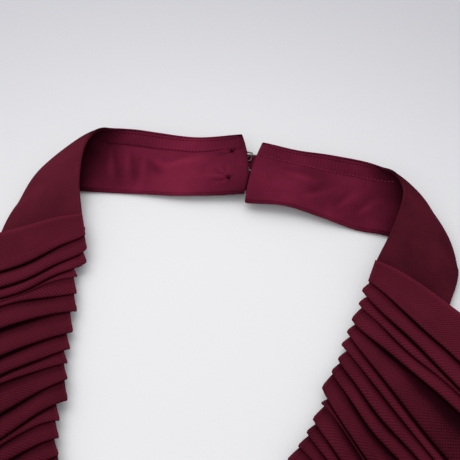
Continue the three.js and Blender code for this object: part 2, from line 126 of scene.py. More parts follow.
def run_lengths(points, axis=0):
    """How far each point is along its curve, or along its row or column of a grid."""
    total = np.cumsum(np.linalg.norm(np.diff(points, axis=axis), axis=-1), axis=axis)
    pad = [(0, 0)] * total.ndim
    pad[axis] = (1, 0)
    return np.pad(total, pad)


def grid_quads(rows, columns, start=0):
    corner = np.arange(rows - 1)[:, None] * columns + np.arange(columns - 1) + start
    quads = [corner, corner + columns, corner + columns + 1, corner + 1]
    return np.stack(quads, axis=-1).reshape(-1, 4)


def rim(rows, columns):
    index = np.arange(rows * columns).reshape(rows, columns)
    sides = [index[0, :-1], index[:-1, -1], index[-1, :0:-1], index[:0:-1, 0]]
    return np.concatenate(sides)


# %% [markdown]
# Blender takes points and faces as plain lists. The first function makes any mesh from them, the
# second gives a sheet its thickness, and the third rolls a tube for wire and thread. The last two
# put many short tubes together as one row of stitches. A Solidify modifier could thicken the sheets
# too, but here each edge gets its own rounding.


# %% Meshes from sheets
def new_object(name, points, faces, cloth, finishes, finish_index=None):
    mesh = bpy.data.meshes.new(name)
    mesh.from_pydata(to_row(points).tolist(), [], faces)
    mesh.polygons.foreach_set("use_smooth", np.ones(len(faces), bool))
    for finish in finishes:
        mesh.materials.append(finish)
    if finish_index is not None:
        mesh.polygons.foreach_set("material_index", finish_index)
    layer = mesh.attributes.new("cloth", "FLOAT_VECTOR", "POINT")
    layer.data.foreach_set("vector", np.asarray(cloth, np.float32).reshape(-1))
    mesh.validate()
    mesh.update()
    piece = bpy.data.objects.new(name, mesh)
    bpy.context.collection.objects.link(piece)
    return piece


def closed_cloth(name, middle, half_wall, cloth, finishes, two_faced=False):
    """A sheet with thickness: one face on each side of its middle, and a rim between them."""
    rows, columns = middle.shape[:2]
    reach = grid_normals(middle) * np.broadcast_to(half_wall, (rows, columns))[..., None]
    points = np.concatenate([(middle + reach).reshape(-1, 3), (middle - reach).reshape(-1, 3)])
    upper = grid_quads(rows, columns)
    lower = grid_quads(rows, columns, rows * columns)[:, ::-1]
    ring = rim(rows, columns)
    next_ring = np.roll(ring, -1)
    under = rows * columns
    edge = np.stack([ring, next_ring, next_ring + under, ring + under], axis=-1)
    quads = np.concatenate([upper, lower, edge])
    finish_index = None
    if two_faced:
        finish_index = np.repeat([0, 1], [len(upper), len(lower) + len(edge)])
    flat = cloth.reshape(-1, 3)
    cloth = np.concatenate([flat, flat])
    piece = new_object(name, points, quads.tolist(), cloth, finishes, finish_index)
    print(f"{name}: {len(points)} points, {2 * len(quads)} triangles")
    return piece


def tube(path, radius, sides):
    """Points and faces of round wire or thread along a path."""
    forward = unit(np.gradient(path, axis=0))
    side = unit(np.cross(forward, np.broadcast_to((0.02, 0.03, 1.0), forward.shape)))
    up = np.cross(side, forward)
    turn = np.linspace(0, 2 * pi, sides, endpoint=False)
    radius = np.broadcast_to(radius, len(path))
    ring = np.cos(turn)[None, :, None] * side[:, None] + np.sin(turn)[None, :, None] * up[:, None]
    points = path[:, None] + ring * radius[:, None, None]
    index = np.arange(len(path) * sides).reshape(len(path), sides)
    over = np.roll(index, -1, axis=1)
    quads = np.stack([index[:-1], index[1:], over[1:], over[:-1]], axis=-1).reshape(-1, 4)
    faces = quads.tolist() + [index[0].tolist(), index[-1, ::-1].tolist()]
    return points.reshape(-1, 3), faces


def joined(tubes):
    """Several tubes as one set of points and faces."""
    points, faces, count = [], [], 0
    for tube_points, tube_faces in tubes:
        points.append(tube_points)
        faces += [[corner + count for corner in face] for face in tube_faces]
        count += len(tube_points)
    return np.concatenate(points), faces


def thread_piece(name, tubes, tone, finish):
    """Short tubes of thread as one piece."""
    points, faces = joined(tubes)
    cloth = points * (3.0, 3.0, 0.0) + (0, 0, tone)
    piece = new_object(name, points, faces, cloth, [finish])
    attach(piece, "root")
    print(f"{name}: {len(tubes)} stitches, {len(points)} points")
    return piece


# %% [markdown]
# ## Writing finishes as sums
# A weave is a sum: a wave along the threads times a wave across them. Wiring that by hand takes a
# dozen nodes, so this small class lets Python's own operators add them. Everything else, such as a
# noise or a colour mix, comes from one method that takes the node's settings and its sockets.


# %% Node outputs that Python can add and multiply
class Signal:
    """One output of a node, with the operators that add Math nodes behind it."""

    def __init__(self, finish, socket):
        self.finish = finish
        self.socket = socket

    def _math(self, operation, first, second):
        return self.finish.node("ShaderNodeMath", {"operation": operation}, {0: first, 1: second})

    def __add__(self, other):
        return self._math("ADD", self, other)

    __radd__ = __add__

    def __mul__(self, other):
        return self._math("MULTIPLY", self, other)

    __rmul__ = __mul__

    def __sub__(self, other):
        return self._math("SUBTRACT", self, other)

    def __rsub__(self, other):
        return self._math("SUBTRACT", other, self)


# %% [markdown]
# The second class is a material in the making. Its node method adds any node, settings first and
# then sockets. The methods after that one name what the cloths need again and again.


# %% A material while its nodes are laid out
class Finish:
    """A material while its nodes are being laid out."""

    def __init__(self, name):
        self.material = bpy.data.materials.new(name)
        self.material.use_nodes = True
        self.tree = self.material.node_tree
        self.tree.nodes.clear()

    def node(self, kind, settings=None, sockets=None, output=0):
        node = self.tree.nodes.new(kind)
        for key, value in (settings or {}).items():
            setattr(node, key, value)
        for key, value in (sockets or {}).items():
            if isinstance(value, Signal):
                self.tree.links.new(value.socket, node.inputs[key])
            else:
                node.inputs[key].default_value = value
        return Signal(self, node.outputs[output]) if node.outputs else None

    def cloth_place(self):
        """Millimetres along and across the cloth, its tone, and all three as one vector."""
        place = self.node("ShaderNodeAttribute", {"attribute_name": "cloth"}, output="Vector")
        along = self.node("ShaderNodeSeparateXYZ", {}, {"Vector": place}, output="X")
        across = Signal(self, along.socket.node.outputs["Y"])
        tone = Signal(self, along.socket.node.outputs["Z"])
        return along, across, tone, place

    def wave(self, distance, pitch):
        """A wave from 0 to 1 that repeats every pitch millimetres."""
        angle = distance * (2 * pi / pitch)
        return self.node("ShaderNodeMath", {"operation": "SINE"}, {0: angle}) * 0.5 + 0.5

    def noise(self, place, size, detail=2.0):
        """Soft unevenness from 0 to 1, with spots about size millimetres across."""
        sockets = {"Vector": place, "Scale": 1 / size, "Detail": detail}
        return self.node("ShaderNodeTexNoise", {}, sockets)

    def step(self, value, low, high):
        """0 below low, 1 above high, smooth between them."""
        sockets = {"Value": value, "From Min": low, "From Max": high}
        return self.node("ShaderNodeMapRange", {"interpolation_type": "SMOOTHSTEP"}, sockets)

    def colour_mix(self, share, first, second):
        return self.node("ShaderNodeMix", {"data_type": "RGBA"}, {0: share, 6: first, 7: second}, 2)

    def cloth_colour(self, shade, deep, lit):
        return self.colour_mix(self.step(shade, -0.1, 1.1), deep, lit)

    def finish_with(self, sockets, height=None, depth=0.0002):
        """The surface itself. height, from 0 to 1, gives a relief that is depth metres deep."""
        if height is not None:
            relief = {"Height": height, "Distance": depth, "Strength": 1.0}
            sockets = {**sockets, "Normal": self.node("ShaderNodeBump", {}, relief)}
        shader = self.node("ShaderNodeBsdfPrincipled", {}, sockets)
        self.node("ShaderNodeOutputMaterial", {}, {"Surface": shader})
        return self.material


# %% [markdown]
# Colours are easier to read as they look on a screen, but a shader works in linear numbers. One
# function turns the first into the second.


# %% Colours as on a screen
def colour(red, green, blue):
    """A colour given as on a screen, 0 to 255, in the linear numbers that a shader works in."""
    values = np.array([red, green, blue]) / 255
    linear = np.where(values <= 0.04045, values / 12.92, ((values + 0.055) / 1.055) ** 2.4)
    return (*linear.tolist(), 1.0)


# %% [markdown]
# ## The cloths
# Three cloths are seen on the real dress. The pleats and the skirt are a fine stretch mesh, the
# neckband's face is a matt crepe, and its inside and facing are a smoother lining. All are wine
# red. Each gets its threads from the "cloth" distances, in millimetres, so the scale stays right
# wherever the cloth folds. The third number there is the tone: 0 deep in a fold, 1 where the cloth
# comes up into the light. The threads are added to it, and the sum picks a colour between a deep
# and a lit one. The light in the photograph is so soft that the lamps alone would leave the folds
# pale.


# %% Fine mesh
MESH_PITCH = 1.35


def mesh_cloth(name, deep, lit):
    finish = Finish(name)
    along, across, tone, place = finish.cloth_place()
    ribs = finish.wave(along * 0.8 + across, MESH_PITCH)
    cross_ribs = finish.wave(along * 0.8 - across, MESH_PITCH)
    knit = ribs * 0.4 + cross_ribs * 0.2 + ribs * cross_ribs * 0.4
    patches = finish.noise(place, 26.0)
    fuzz = finish.noise(place, 0.7, 1.0)
    threads = (knit - 0.45) * tone * 0.7
    shade = tone + threads + (patches - 0.5) * 0.35 + (fuzz - 0.5) * 0.2
    return finish.finish_with(
        {
            "Base Color": finish.cloth_colour(shade, deep, lit),
            "Roughness": patches * 0.12 + 0.72,
            "Sheen Weight": 0.06,
            "Sheen Roughness": 0.45,
            "Sheen Tint": colour(215, 20, 80),
            "Specular IOR Level": 0.01,
        },
        knit * 0.8 + fuzz * 0.4,
        0.00012,
    )


PLEAT_CLOTH = mesh_cloth("pleated_mesh_cloth", colour(25, 4, 9), colour(104, 31, 48))
SKIRT_CLOTH = mesh_cloth("skirt_mesh_cloth", colour(25, 4, 9), colour(103, 31, 47))
print("mesh cloths:", PLEAT_CLOTH.name, SKIRT_CLOTH.name)


# %% [markdown]
# Crepe, lining and sewing thread are all woven or twisted, so one function makes the four. They
# differ in pitch, in the slant of the twill and in how far the threads stand up. The shader's sheen
# gives the faint bloom that such cloth has at a low angle.


# %% Crepe face and smooth lining
def woven_cloth(name, deep, lit, pitch, slant, sheen, relief):
    finish = Finish(name)
    along, across, tone, place = finish.cloth_place()
    twill = finish.wave(along + across * slant, pitch)
    threads = finish.wave(across, pitch * 0.8) * finish.wave(along, pitch * 0.9)
    cloudy = finish.noise(place, 18.0)
    grain = finish.noise(place, 0.5, 1.0)
    texture = twill * 0.15 + threads * 0.12 + cloudy * 0.4 + grain * 0.15
    shade = tone + texture - 0.4
    return finish.finish_with(
        {
            "Base Color": finish.cloth_colour(shade, deep, lit),
            "Roughness": cloudy * 0.14 + 0.62,
            "Sheen Weight": sheen,
            "Sheen Roughness": 0.4,
            "Sheen Tint": colour(220, 20, 80),
            "Specular IOR Level": 0.01,
        },
        twill * 0.5 + threads * 0.5 + grain * 0.3,
        relief,
    )


BAND_FACE = woven_cloth("band_crepe", colour(35, 8, 15), colour(108, 34, 51), 0.9, 1.0, 0.05, 0.0001)
LINING = woven_cloth("smooth_lining", colour(35, 5, 14), colour(128, 36, 63), 0.7, 0.0, 0.06, 0.00006)
# A lighter copy of the dark thread: painted light on one row of stitches
THREAD = woven_cloth("sewing_thread_lit_copy", colour(60, 14, 28), colour(170, 62, 92), 0.5, 2.0, 0.05, 0.00006)
DARK_THREAD = woven_cloth("dark_thread", colour(26, 3, 9), colour(70, 14, 28), 0.5, 2.0, 0.04, 0.00006)
print("woven cloths:", BAND_FACE.name, LINING.name, THREAD.name, DARK_THREAD.name)

# %% [markdown]
# The hooks and eyes are plain steel wire. A metal needs little more than its colour, some roughness
# and the fine scratches of drawing, which a noise of a quarter of a millimetre gives.


# %% Steel of the hooks and eyes
def steel():
    finish = Finish("hook_steel_wire")
    *_, place = finish.cloth_place()
    scratches = finish.noise(place, 0.25, 2.0)
    return finish.finish_with(
        {
            "Base Color": finish.colour_mix(scratches, colour(52, 46, 47), colour(128, 122, 122)),
            "Metallic": 1.0,
            "Roughness": scratches * 0.2 + 0.24,
        },
        scratches,
        0.00002,
    )


STEEL = steel()
print("wire:", STEEL.name)

# %% [markdown]
# ## The neckband
# Each half of the real neckband is a strip of crepe and lining, turned at both edges. It is soft,
# so it rolls over at the shoulder instead of creasing. A row of rungs, each a small curve from the
# inner edge to the outer one, is enough to say how such a strip lies. A smooth curve then runs
# through the rungs, as a lofted surface would.

# %% Rungs of both halves
BAND_RUNGS = {
    "left": np.array([
        (-77, -74, 2.5, -98, -83, 2.5, -122.0, -92, 1.5),
        (-84, -53, 5, -104, -60, 5, -125.0, -70.8, 2.2),
        (-90.5, -36, 9.5, -110, -43, 15, -124.3, -56, 2),
        (-93.8, -21.5, 13, -121, -28, 15, -122, -46, 1.2),
        (-94.7, -10, 16, -124, -15.5, 9.5, -115, -39, 1.2),
        (-93, -1.5, 17, -115, -2, 10, -106, -35.5, 1.2),
        (-89.5, 5, 16, -108, 2, 8, -97, -33, 1.2),
        (-83, 9.8, 14, -91, -5, 3, -87, -31.8, 1.2),
        (-72, 13, 12, -74, -7, 2, -73, -29.8, 1.2),
        (-56, 13.8, 11, -56, -8, 2.5, -56.5, -28.3, 1.6),
        (-31.6, 15.4, 10, -31, -6, 5, -31, -26.7, 3.5),
        (-7, 22.7, 10, 4.1, 0, 7, 1.7, -20.8, 5.5),
    ]),
    "right": np.array([
        (74, -74, 2.5, 95, -83, 2.5, 112.3, -91, 1.5),
        (77.5, -57, 5, 98, -64, 5, 115.6, -75, 2.2),
        (83, -41, 8.5, 103, -47, 15, 119.8, -59, 2),
        (88, -23, 12, 115.5, -28, 15, 119, -48, 1.2),
        (89.3, -12, 15, 114, -15.5, 9.5, 109, -41, 1.2),
        (87, -4.5, 16, 109, -5.5, 8.5, 100, -37.5, 1.2),
        (82.5, 1, 16, 98, -2, 8, 92, -35, 1.2),
        (75.5, 6.8, 14, 84, -7, 3, 81, -33.3, 1.2),
        (65, 11.2, 12, 67, -9, 2, 68, -32.5, 1.4),
        (47.2, 13.6, 11, 47, -8, 3, 48.5, -29.5, 4),
        (27, 15.3, 10, 28, -6, 5.5, 27.5, -26.3, 6),
        (6.5, 17.8, 10, 1.6, -4, 7, 3.2, -27.3, 5.5),
    ]),
}
SIDES = {"left": -1, "right": 1}


def through_rows(rows, at):
    """Smooth curve through the rows of a table."""
    last = len(rows) - 2
    i = np.clip(np.floor(at).astype(int), 0, last)
    f = (at - i)[..., None]
    p1, p2 = rows[i], rows[i + 1]
    p0 = np.where(i[..., None] > 0, rows[np.maximum(i - 1, 0)], 2 * p1 - p2)
    p3 = np.where(i[..., None] < last, rows[np.minimum(i + 2, last + 1)], 2 * p2 - p1)
    bend = (2 * p0 - 5 * p1 + 4 * p2 - p3) * f**2 + (3 * p1 - p0 - 3 * p2 + p3) * f**3
    return 0.5 * (2 * p1 + (p2 - p0) * f + bend)


def band_point(side, t, w):
    """Middle of the band's wall: t from foot to end, w from inner to outer edge, 0 to 1."""
    t, w = np.broadcast_arrays(np.asarray(t, float), np.asarray(w, float))
    rung = through_rows(BAND_RUNGS[side], t * (len(BAND_RUNGS[side]) - 1))
    v = w[..., None]
    return rung[..., :3] * (1 - v) ** 2 + rung[..., 3:6] * 2 * v * (1 - v) + rung[..., 6:] * v**2


def off_band(side, t, w, offset, reach=0.004):
    """Point off the band's middle, on the side of its inner face where offset is above 0."""
    t, w = np.broadcast_arrays(np.asarray(t, float), np.asarray(w, float))
    forward = band_point(side, np.minimum(1, t + reach), w) - band_point(side, np.maximum(0, t - reach), w)
    over = band_point(side, t, np.minimum(1, w + reach)) - band_point(side, t, np.maximum(0, w - reach))
    inward = unit(np.cross(forward, over)) * SIDES[side]
    return band_point(side, t, w) + inward * np.asarray(offset)[..., None]


edge_length = run_lengths(band_point("left", np.linspace(0, 1, 200), 0.0))[-1]
print(f"inner edge of the left half: {edge_length:.1f} mm")

# %% [markdown]
# A flat sheet would look stiff. What makes cloth read as cloth is small: a bead where the edge is
# turned, soft hollows between the layers, a pucker at each tack that holds the closure. These are
# real relief here, so that they also show from the side.

# %% Creases and tacks
# Each tack: x, y, how wide and how deep
TACKS = {"left": [(-10.6, 8.7, 1.3, 1.5), (-9.3, -10.6, 1.3, 2.2)], "right": []}
# Each crease: from x, y to x, y, how wide and how high
CREASES = {
    "left": [
        (-9.3, -10.6, -20.0, -2.0, 1.6, 0.9),
        (-9.3, -10.6, -26.0, -12.5, 2.2, 0.9),
        (-9.3, -10.6, -11.5, 0.5, 1.4, 0.8),
        (-9.3, -10.6, -12.0, -19.0, 1.5, 0.6),
        (-10.6, 8.7, -24.0, 6.0, 2.0, 0.7),
        (-10.6, 8.7, -12.0, 18.0, 1.4, 0.5),
        (-52.0, -11.0, -14.0, 5.0, 5.5, 1.5),
        (-60.0, -4.0, -42.0, -20.0, 4.0, -1.1),
        (-84.0, 2.0, -75.0, -30.0, 3.2, 0.9),
        (-73.0, 2.0, -66.0, -28.0, 3.6, 1.0),
        (-62.0, 0.0, -58.0, -28.0, 3.4, 0.8),
    ],
    "right": [
        (12.5, 10.5, 34.0, 2.0, 2.8, 0.6),
        (18.0, -2.0, 52.0, -8.0, 4.5, 0.9),
        (30.0, -22.0, 62.0, -4.0, 4.5, 0.8),
        (52.0, -24.0, 72.0, -4.0, 3.6, 0.8),
        (64.0, -26.0, 84.0, -6.0, 3.6, 0.8),
    ],
}
WAVE_PHASE = {"left": 1.7, "right": 0.4}
NARROW_CREASE = 3


def at_the_back(t):
    """0 on the strap, 1 on the part that crosses the back of the neck."""
    return smooth((t - 0.45) / 0.1)


def band_relief(side, place, t):
    """How far the cloth stands off a smooth band: soft waves, creases, and a pit at each tack."""
    x, y = place[..., 0], place[..., 1]
    phase = WAVE_PHASE[side]
    relief = 0.22 * np.sin(x / 9.0 + y / 14.0 + phase) + 0.16 * np.sin(x / 5.1 - y / 8.0 + 2 * phase)
    back = at_the_back(t)
    for x0, y0, x1, y1, width, height in CREASES[side]:
        way = np.array([x1 - x0, y1 - y0])
        length = np.hypot(*way)
        way = way / length
        along = ((x - x0) * way[0] + (y - y0) * way[1]) / length
        aside = (y - y0) * way[0] - (x - x0) * way[1]
        spread = width * (0.35 + 0.65 * np.clip(along, 0, 1))
        fade_in = 0.12 if width < NARROW_CREASE else 0.45
        fade = smooth(along / fade_in) * smooth((1 - along) / 0.7)
        ridge = bump(aside, spread) - 0.7 * bump(aside - 1.6 * spread, spread)
        relief = relief + back * height * fade * ridge
    for x0, y0, width, depth in TACKS[side]:
        away = np.hypot(x - x0, y - y0)
        relief = relief - back * depth * bump(away, width)
    return relief


# %% [markdown]
# The band's tone goes from one end to the other: lit on the strap, deepest inside the roll at the
# shoulder, and lit again across the back of the neck. A short list of places and tones says that
# better than a lamp could, and it moves with the cloth.

# %% Tone along the band
# For each half: places from foot to end, and the tone at each
BAND_TONES = {
    "left": (
        [0, 0.08, 0.2, 0.4, 0.5, 0.56, 0.62, 0.7, 0.78, 0.9, 1.0],
        [0.4, 0.48, 0.62, 0.6, 0.2, 0.07, 0.16, 0.42, 0.54, 0.76, 0.32],
    ),
    "right": (
        [0, 0.08, 0.2, 0.4, 0.5, 0.56, 0.62, 0.7, 0.8, 0.92, 1.0],
        [0.3, 0.36, 0.4, 0.42, 0.2, 0.05, 0.22, 0.44, 0.52, 0.54, 0.5],
    ),
}


def band_cloth_place(side, t, w):
    """Millimetres along and across the band for its threads, and its tone: deep in the folds."""
    middle = band_point(side, t, np.full_like(t, 0.5))
    along = run_lengths(middle)
    tone = np.interp(t, *BAND_TONES[side])
    return np.stack(np.broadcast_arrays(along[:, None], w[None] * BAND_WIDTH, tone[:, None]), axis=-1)


# %% [markdown]
# Now the strip itself. Its points gather towards both edges, where the cloth is turned and a bead
# and a groove need them. The corners at the closure are rounded, as a turned corner is.

# %% Edges of the strip
END_ROUND = 1.6
END_SHARE = 0.0037


def edge_spaced(count, gather=0.8):
    """Shares from 0 to 1 that lie closer together near both ends."""
    x = np.linspace(0, 1, count)
    return mix(x, 0.5 - 0.5 * np.cos(pi * x), gather)


def rounding(from_edge, radius):
    """Share of its full thickness that a sheet has near an edge, for a round edge."""
    return np.sqrt(1 - np.clip(1 - from_edge / radius, 0, 0.999) ** 2)


def rounded_end(grid_t, grid_w):
    """The same places with the corners of the closure's end rounded off."""
    from_edge = np.minimum(grid_w, 1 - grid_w) * BAND_WIDTH
    in_corner = np.clip(1 - from_edge / END_ROUND, 0, 1)
    set_back = END_ROUND * (1 - np.sqrt(1 - in_corner**2))
    return grid_t - set_back * END_SHARE * smooth((grid_t - 0.95) / 0.05)


# %% [markdown]
# Each half is one grid of 281 by 81 points, closed into a sheet with the crepe on one face and the
# lining on the other. The left half's rows are turned round, so that the crepe is outside on both.

# %% Both halves of the band
INNER_ROLL, OUTER_ROLL = 1.6, 1.25
BEAD_HEIGHT, BEAD_WIDTH = 0.3, 0.6
GROOVE_DEPTH, GROOVE_WIDTH = 0.38, 0.28
EDGE_RADIUS = 0.8
BAND_LENGTH = 172
# Painted shade in the inner and in the outer groove: how much deeper the tone is there, and over what width
GROOVE_PAINTED_SHADES, GROOVE_PAINTED_SHADE_WIDTH = (0.3, 0.22), 0.4
# Painted light on the relief's ridges and painted shade in its hollows
RELIEF_PAINTED_LIGHT = 0.15
# Painted shade in the pit at each tack
TACK_PAINTED_SHADE = 0.5


def neckband(side):
    t = np.linspace(0, 1, 281)
    w = edge_spaced(81)
    grid_t, grid_w = np.meshgrid(t, w, indexing="ij")
    grid_t = rounded_end(grid_t, grid_w)
    smooth_place = band_point(side, grid_t, grid_w)
    edge_share = np.minimum(np.minimum(grid_w, 1 - grid_w) / 0.03, np.minimum(grid_t, 1 - grid_t) / 0.008)
    relief = band_relief(side, smooth_place, grid_t) * np.clip(edge_share, 0, 1)
    middle = off_band(side, grid_t, grid_w, relief)
    from_edge = np.minimum(grid_w, 1 - grid_w) * BAND_WIDTH
    from_end = np.minimum(grid_t, 1 - grid_t) * BAND_LENGTH
    groove_at = np.where(grid_w < 0.5, INNER_ROLL, OUTER_ROLL)
    back = at_the_back(grid_t)
    bead = BEAD_HEIGHT * bump(from_edge - 0.5 * groove_at, BEAD_WIDTH)
    bead = bead - GROOVE_DEPTH * back * bump(from_edge - groove_at, GROOVE_WIDTH)
    nearest = np.minimum(from_edge, from_end + 0.2)
    half = (BAND_HALF_WALL + bead) * rounding(nearest, EDGE_RADIUS)
    cloth = band_cloth_place(side, t, w)
    # Painted shade in the grooves along both turned edges
    groove_painted_shade = np.where(grid_w < 0.5, *GROOVE_PAINTED_SHADES)
    cloth[..., 2] -= groove_painted_shade * back * bump(from_edge - groove_at, GROOVE_PAINTED_SHADE_WIDTH)
    # Painted light and shade that follow the relief
    cloth[..., 2] += RELIEF_PAINTED_LIGHT * back * np.clip(relief, -1, 1)
    # Painted shade in each tack's pit
    for x0, y0, width, _ in TACKS[side]:
        away = np.hypot(middle[..., 0] - x0, middle[..., 1] - y0)
        cloth[..., 2] -= TACK_PAINTED_SHADE * bump(away, width) * (grid_t > 0.6)
    if side == "left":
        middle = middle[::-1]
        half = half[::-1]
        cloth = cloth[::-1]
    name = f"neckband_{side}_cloth"
    piece = closed_cloth(name, middle, half, cloth, [BAND_FACE, LINING], two_faced=True)
    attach(piece, "root")
    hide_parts(f"neckband_{side}")
    return piece


bands = {side: neckband(side) for side in SIDES}

# %% [markdown]
# The facing is the narrow strip that holds the lining's inner edge. Two rows of stitches run along
# it. Each stitch is its own short dome of thread, half sunk in the cloth, because at this distance a
# row of bumps in the shader would look printed on.

# %% Facings
FACING_OFFSET = 0.98
FACING_HALF_WALL = 0.17
FACING_EDGE_RADIUS = 0.5
FACING_END = 0.992
FACING_SHADE = 0.05
# How far each row of stitches lies from the band's inner edge
STITCH_ROWS = {"upper": 3.3, "lower": 10.6}
# The right half's lower row takes the lighter thread: painted light on that row
STITCH_THREADS = {
    "left": {"upper": DARK_THREAD, "lower": DARK_THREAD},
    "right": {"upper": DARK_THREAD, "lower": THREAD},
}
STITCH_LENGTH = 1.3
STITCH_GAP = 0.8
ROW_PULL, ROW_WIDTH = 0.12, 0.55
# Painted light and shade of small puckers between the rows: how strong, where their middle lies, how wide
PUCKER_PAINTED_LIGHT, PUCKER_MIDDLE, PUCKER_WIDTH = 0.06, 7.0, 2.6


def facing(side):
    t = np.linspace(FACING_START - 0.03, FACING_END, 200)
    w = np.linspace(INNER_ROLL / BAND_WIDTH + 0.004, FACING_WIDTH / BAND_WIDTH, 41)
    grid_t, grid_w = np.meshgrid(t, w, indexing="ij")
    across = grid_w * BAND_WIDTH
    pulled = sum(ROW_PULL * bump(across - row, ROW_WIDTH) for row in STITCH_ROWS.values())
    smooth_place = band_point(side, grid_t, grid_w)
    start = smooth((grid_t - t[0]) / 0.06)
    offset = band_relief(side, smooth_place, grid_t) + mix(0.3, FACING_OFFSET, start) - pulled
    middle = off_band(side, grid_t, grid_w, offset, 0.01)
    from_edge = np.minimum(across - w[0] * BAND_WIDTH, FACING_WIDTH - across) + 0.05
    half = FACING_HALF_WALL * rounding(from_edge, FACING_EDGE_RADIUS)
    cloth = band_cloth_place(side, t, w)
    # Painted light and shade of puckers between the rows, one wave to each stitch
    between_rows = bump(across - PUCKER_MIDDLE, PUCKER_WIDTH)
    painted_pucker_light = np.sin(2 * pi * cloth[..., 0] / (STITCH_LENGTH + STITCH_GAP))
    cloth[..., 2] += PUCKER_PAINTED_LIGHT * between_rows * painted_pucker_light - FACING_SHADE
    piece = closed_cloth(f"facing_{side}_cloth", middle, half, cloth, [LINING])
    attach(piece, "root")
    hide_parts(f"neckband_facing_{side}")
    return piece


facings = {side: facing(side) for side in SIDES}
print("facings:", [piece.name for piece in facings.values()])

# %% [markdown]
# The stitches are spaced by the length of the curve they follow, so they stay even round the bend.
# Each one rises in a low arch, and its ends taper and sink into the cloth.

# %% Stitches along the facings
STITCH_ARCH = 0.2
STITCH_RADIUS = 0.26
STITCH_SINK = 0.3


def stitch_row(side, name, across, thread):
    """Short domes of thread along the facing, evenly spaced by the length of the curve."""
    w = across / BAND_WIDTH
    t = np.linspace(FACING_START, 0.985, 600)
    track = band_point(side, t, np.full_like(t, w))
    far = run_lengths(track)
    share = np.linspace(0, 1, 7)
    arch = np.sin(share * pi) * STITCH_ARCH
    thick = STITCH_RADIUS * np.sin(mix(0.18, 0.82, share) * pi) ** 0.5
    tubes = []
    for start in np.arange(0.5, far[-1] - STITCH_LENGTH, STITCH_LENGTH + STITCH_GAP):
        at = np.interp(start + share * STITCH_LENGTH, far, t)
        place = band_point(side, at, np.full_like(at, w))
        height = band_relief(side, place, at) + FACING_OFFSET + FACING_HALF_WALL - STITCH_SINK + arch
        path = off_band(side, at, np.full_like(at, w), height, 0.01)
        tubes.append(tube(path, thick, 6))
    return thread_piece(f"stitches_{side}_{name}", tubes, 0.55, thread)


stitches = {
    side: [stitch_row(side, name, across, STITCH_THREADS[side][name]) for name, across in STITCH_ROWS.items()]
    for side in SIDES
}

# %% [markdown]
# The eyes are sewn on from behind, and each takes a tack right through the band. The tack pulls a
# small pit into the lining, which the relief above has, and leaves a short bar of thread in it.

# %% Tack threads
TACK_LENGTH = 2.6
TACK_RADIUS = 0.3
TACK_LIFT = 0.95


def tack_threads():
    """A short bar of thread across each tack on the left end."""
    grid_t, grid_w = np.meshgrid(np.linspace(0.85, 1, 120), np.linspace(0, 1, 90), indexing="ij")
    place = band_point("left", grid_t, grid_w)
    share = np.linspace(0, 1, 9)
    thick = TACK_RADIUS * np.sin(mix(0.12, 0.88, share) * pi) ** 0.5
    tubes = []
    for x0, y0, _, _ in TACKS["left"]:
        nearest = np.argmin(np.hypot(place[..., 0] - x0, place[..., 1] - y0))
        at = grid_w.flat[nearest] + (share - 0.5) * TACK_LENGTH / BAND_WIDTH
        row_t = np.full_like(at, grid_t.flat[nearest])
        height = band_relief("left", band_point("left", row_t, at), row_t) + TACK_LIFT
        tubes.append(tube(off_band("left", row_t, at, height), thick, 8))
    return thread_piece("tacks_left", tubes, 0.4, DARK_THREAD)


stitches["left"].append(tack_threads())

# %% [markdown]
# ## The pleated panels
# Each front panel is one length of mesh, pressed into knife pleats: the cloth runs out over a leaf,
# turns back under it, and turns again into the next leaf. It is built the same way, as one zigzag
# sheet, so that the folds overlap and hold real shadow between them. The pleats are held at the
# neckline and fan out towards the seam.

# %% Measures of the pleats
# One row for each pleat that the photograph shows, in millimetres: pitch at the neckline, pitch
# further out, arch, sway, how far its tip runs out, and height
PLEAT_TABLES = {
    "left": np.array([
        (15.1, 27.4, -4.5, 2.5, 2.4, 3.0),
        (10.4, 9.8, -6.4, 2.7, 4.3, 3.2),
        (7.9, 5.4, -6.6, 3.6, 4.6, 3.8),
        (6.0, 2.9, -0.7, 2.2, -0.1, 2.4),
        (10.7, 5.5, 4.1, -1.8, 0.5, 2.6),
        (10.5, 12.8, 2.9, 0.1, 1.6, 3.6),
        (11.8, 15.7, 2.5, -0.1, 0.7, 3.4),
        (9.1, 13.0, 5.9, -1.5, 0.2, 3.0),
        (7.2, 2.7, 4.9, -1.1, -0.3, 2.8),
        (8.3, 13.5, -0.6, 1.3, 0.4, 3.2),
        (11.0, 15.2, 3.3, 0.7, 1.5, 3.8),
        (9.1, 4.4, 9.8, -0.6, -1.2, 2.8),
        (7.5, 7.4, 6.9, -0.6, -0.8, 3.0),
        (7.2, 10.0, 3.0, 0, -0.4, 3.0),
    ]),
    "right": np.array([
        (13.1, 25.2, 1.1, 0.4, 2.3, 3.0),
        (7.7, 10.5, -0.3, -0.4, 3.6, 3.4),
        (6.9, 1.7, -4.3, 2.0, 2.3, 3.0),
        (10.1, 8.0, -2.8, 0.5, 2.4, 3.8),
        (7.3, 21.3, 1.1, -0.4, 2.2, 3.0),
        (7.3, 4.6, 1.2, 0.1, 2.0, 3.0),
        (7.4, 6.2, -3.7, 1.6, 0.7, 3.4),
        (7.7, 7.5, -4.6, 1.9, 1.3, 3.0),
        (10.8, 14.8, -1.3, 0.3, 2.7, 3.6),
        (4.8, 1.6, 3.0, 0.3, -0.3, 2.4),
        (9.2, 7.9, -1.6, 0.8, 0.3, 3.0),
        (6.8, 1.8, -1.0, 0, 0.6, 3.0),
        (7.5, 8.5, 3.1, -0.1, 1.6, 3.0),
        (7.8, 8.6, 4.0, -0.1, 3.5, 3.0),
    ]),
}
# Arch, sway, tip and height of the pleats below those
EVEN_PLEAT = (3.0, 0.0, 1.6, 3.0)
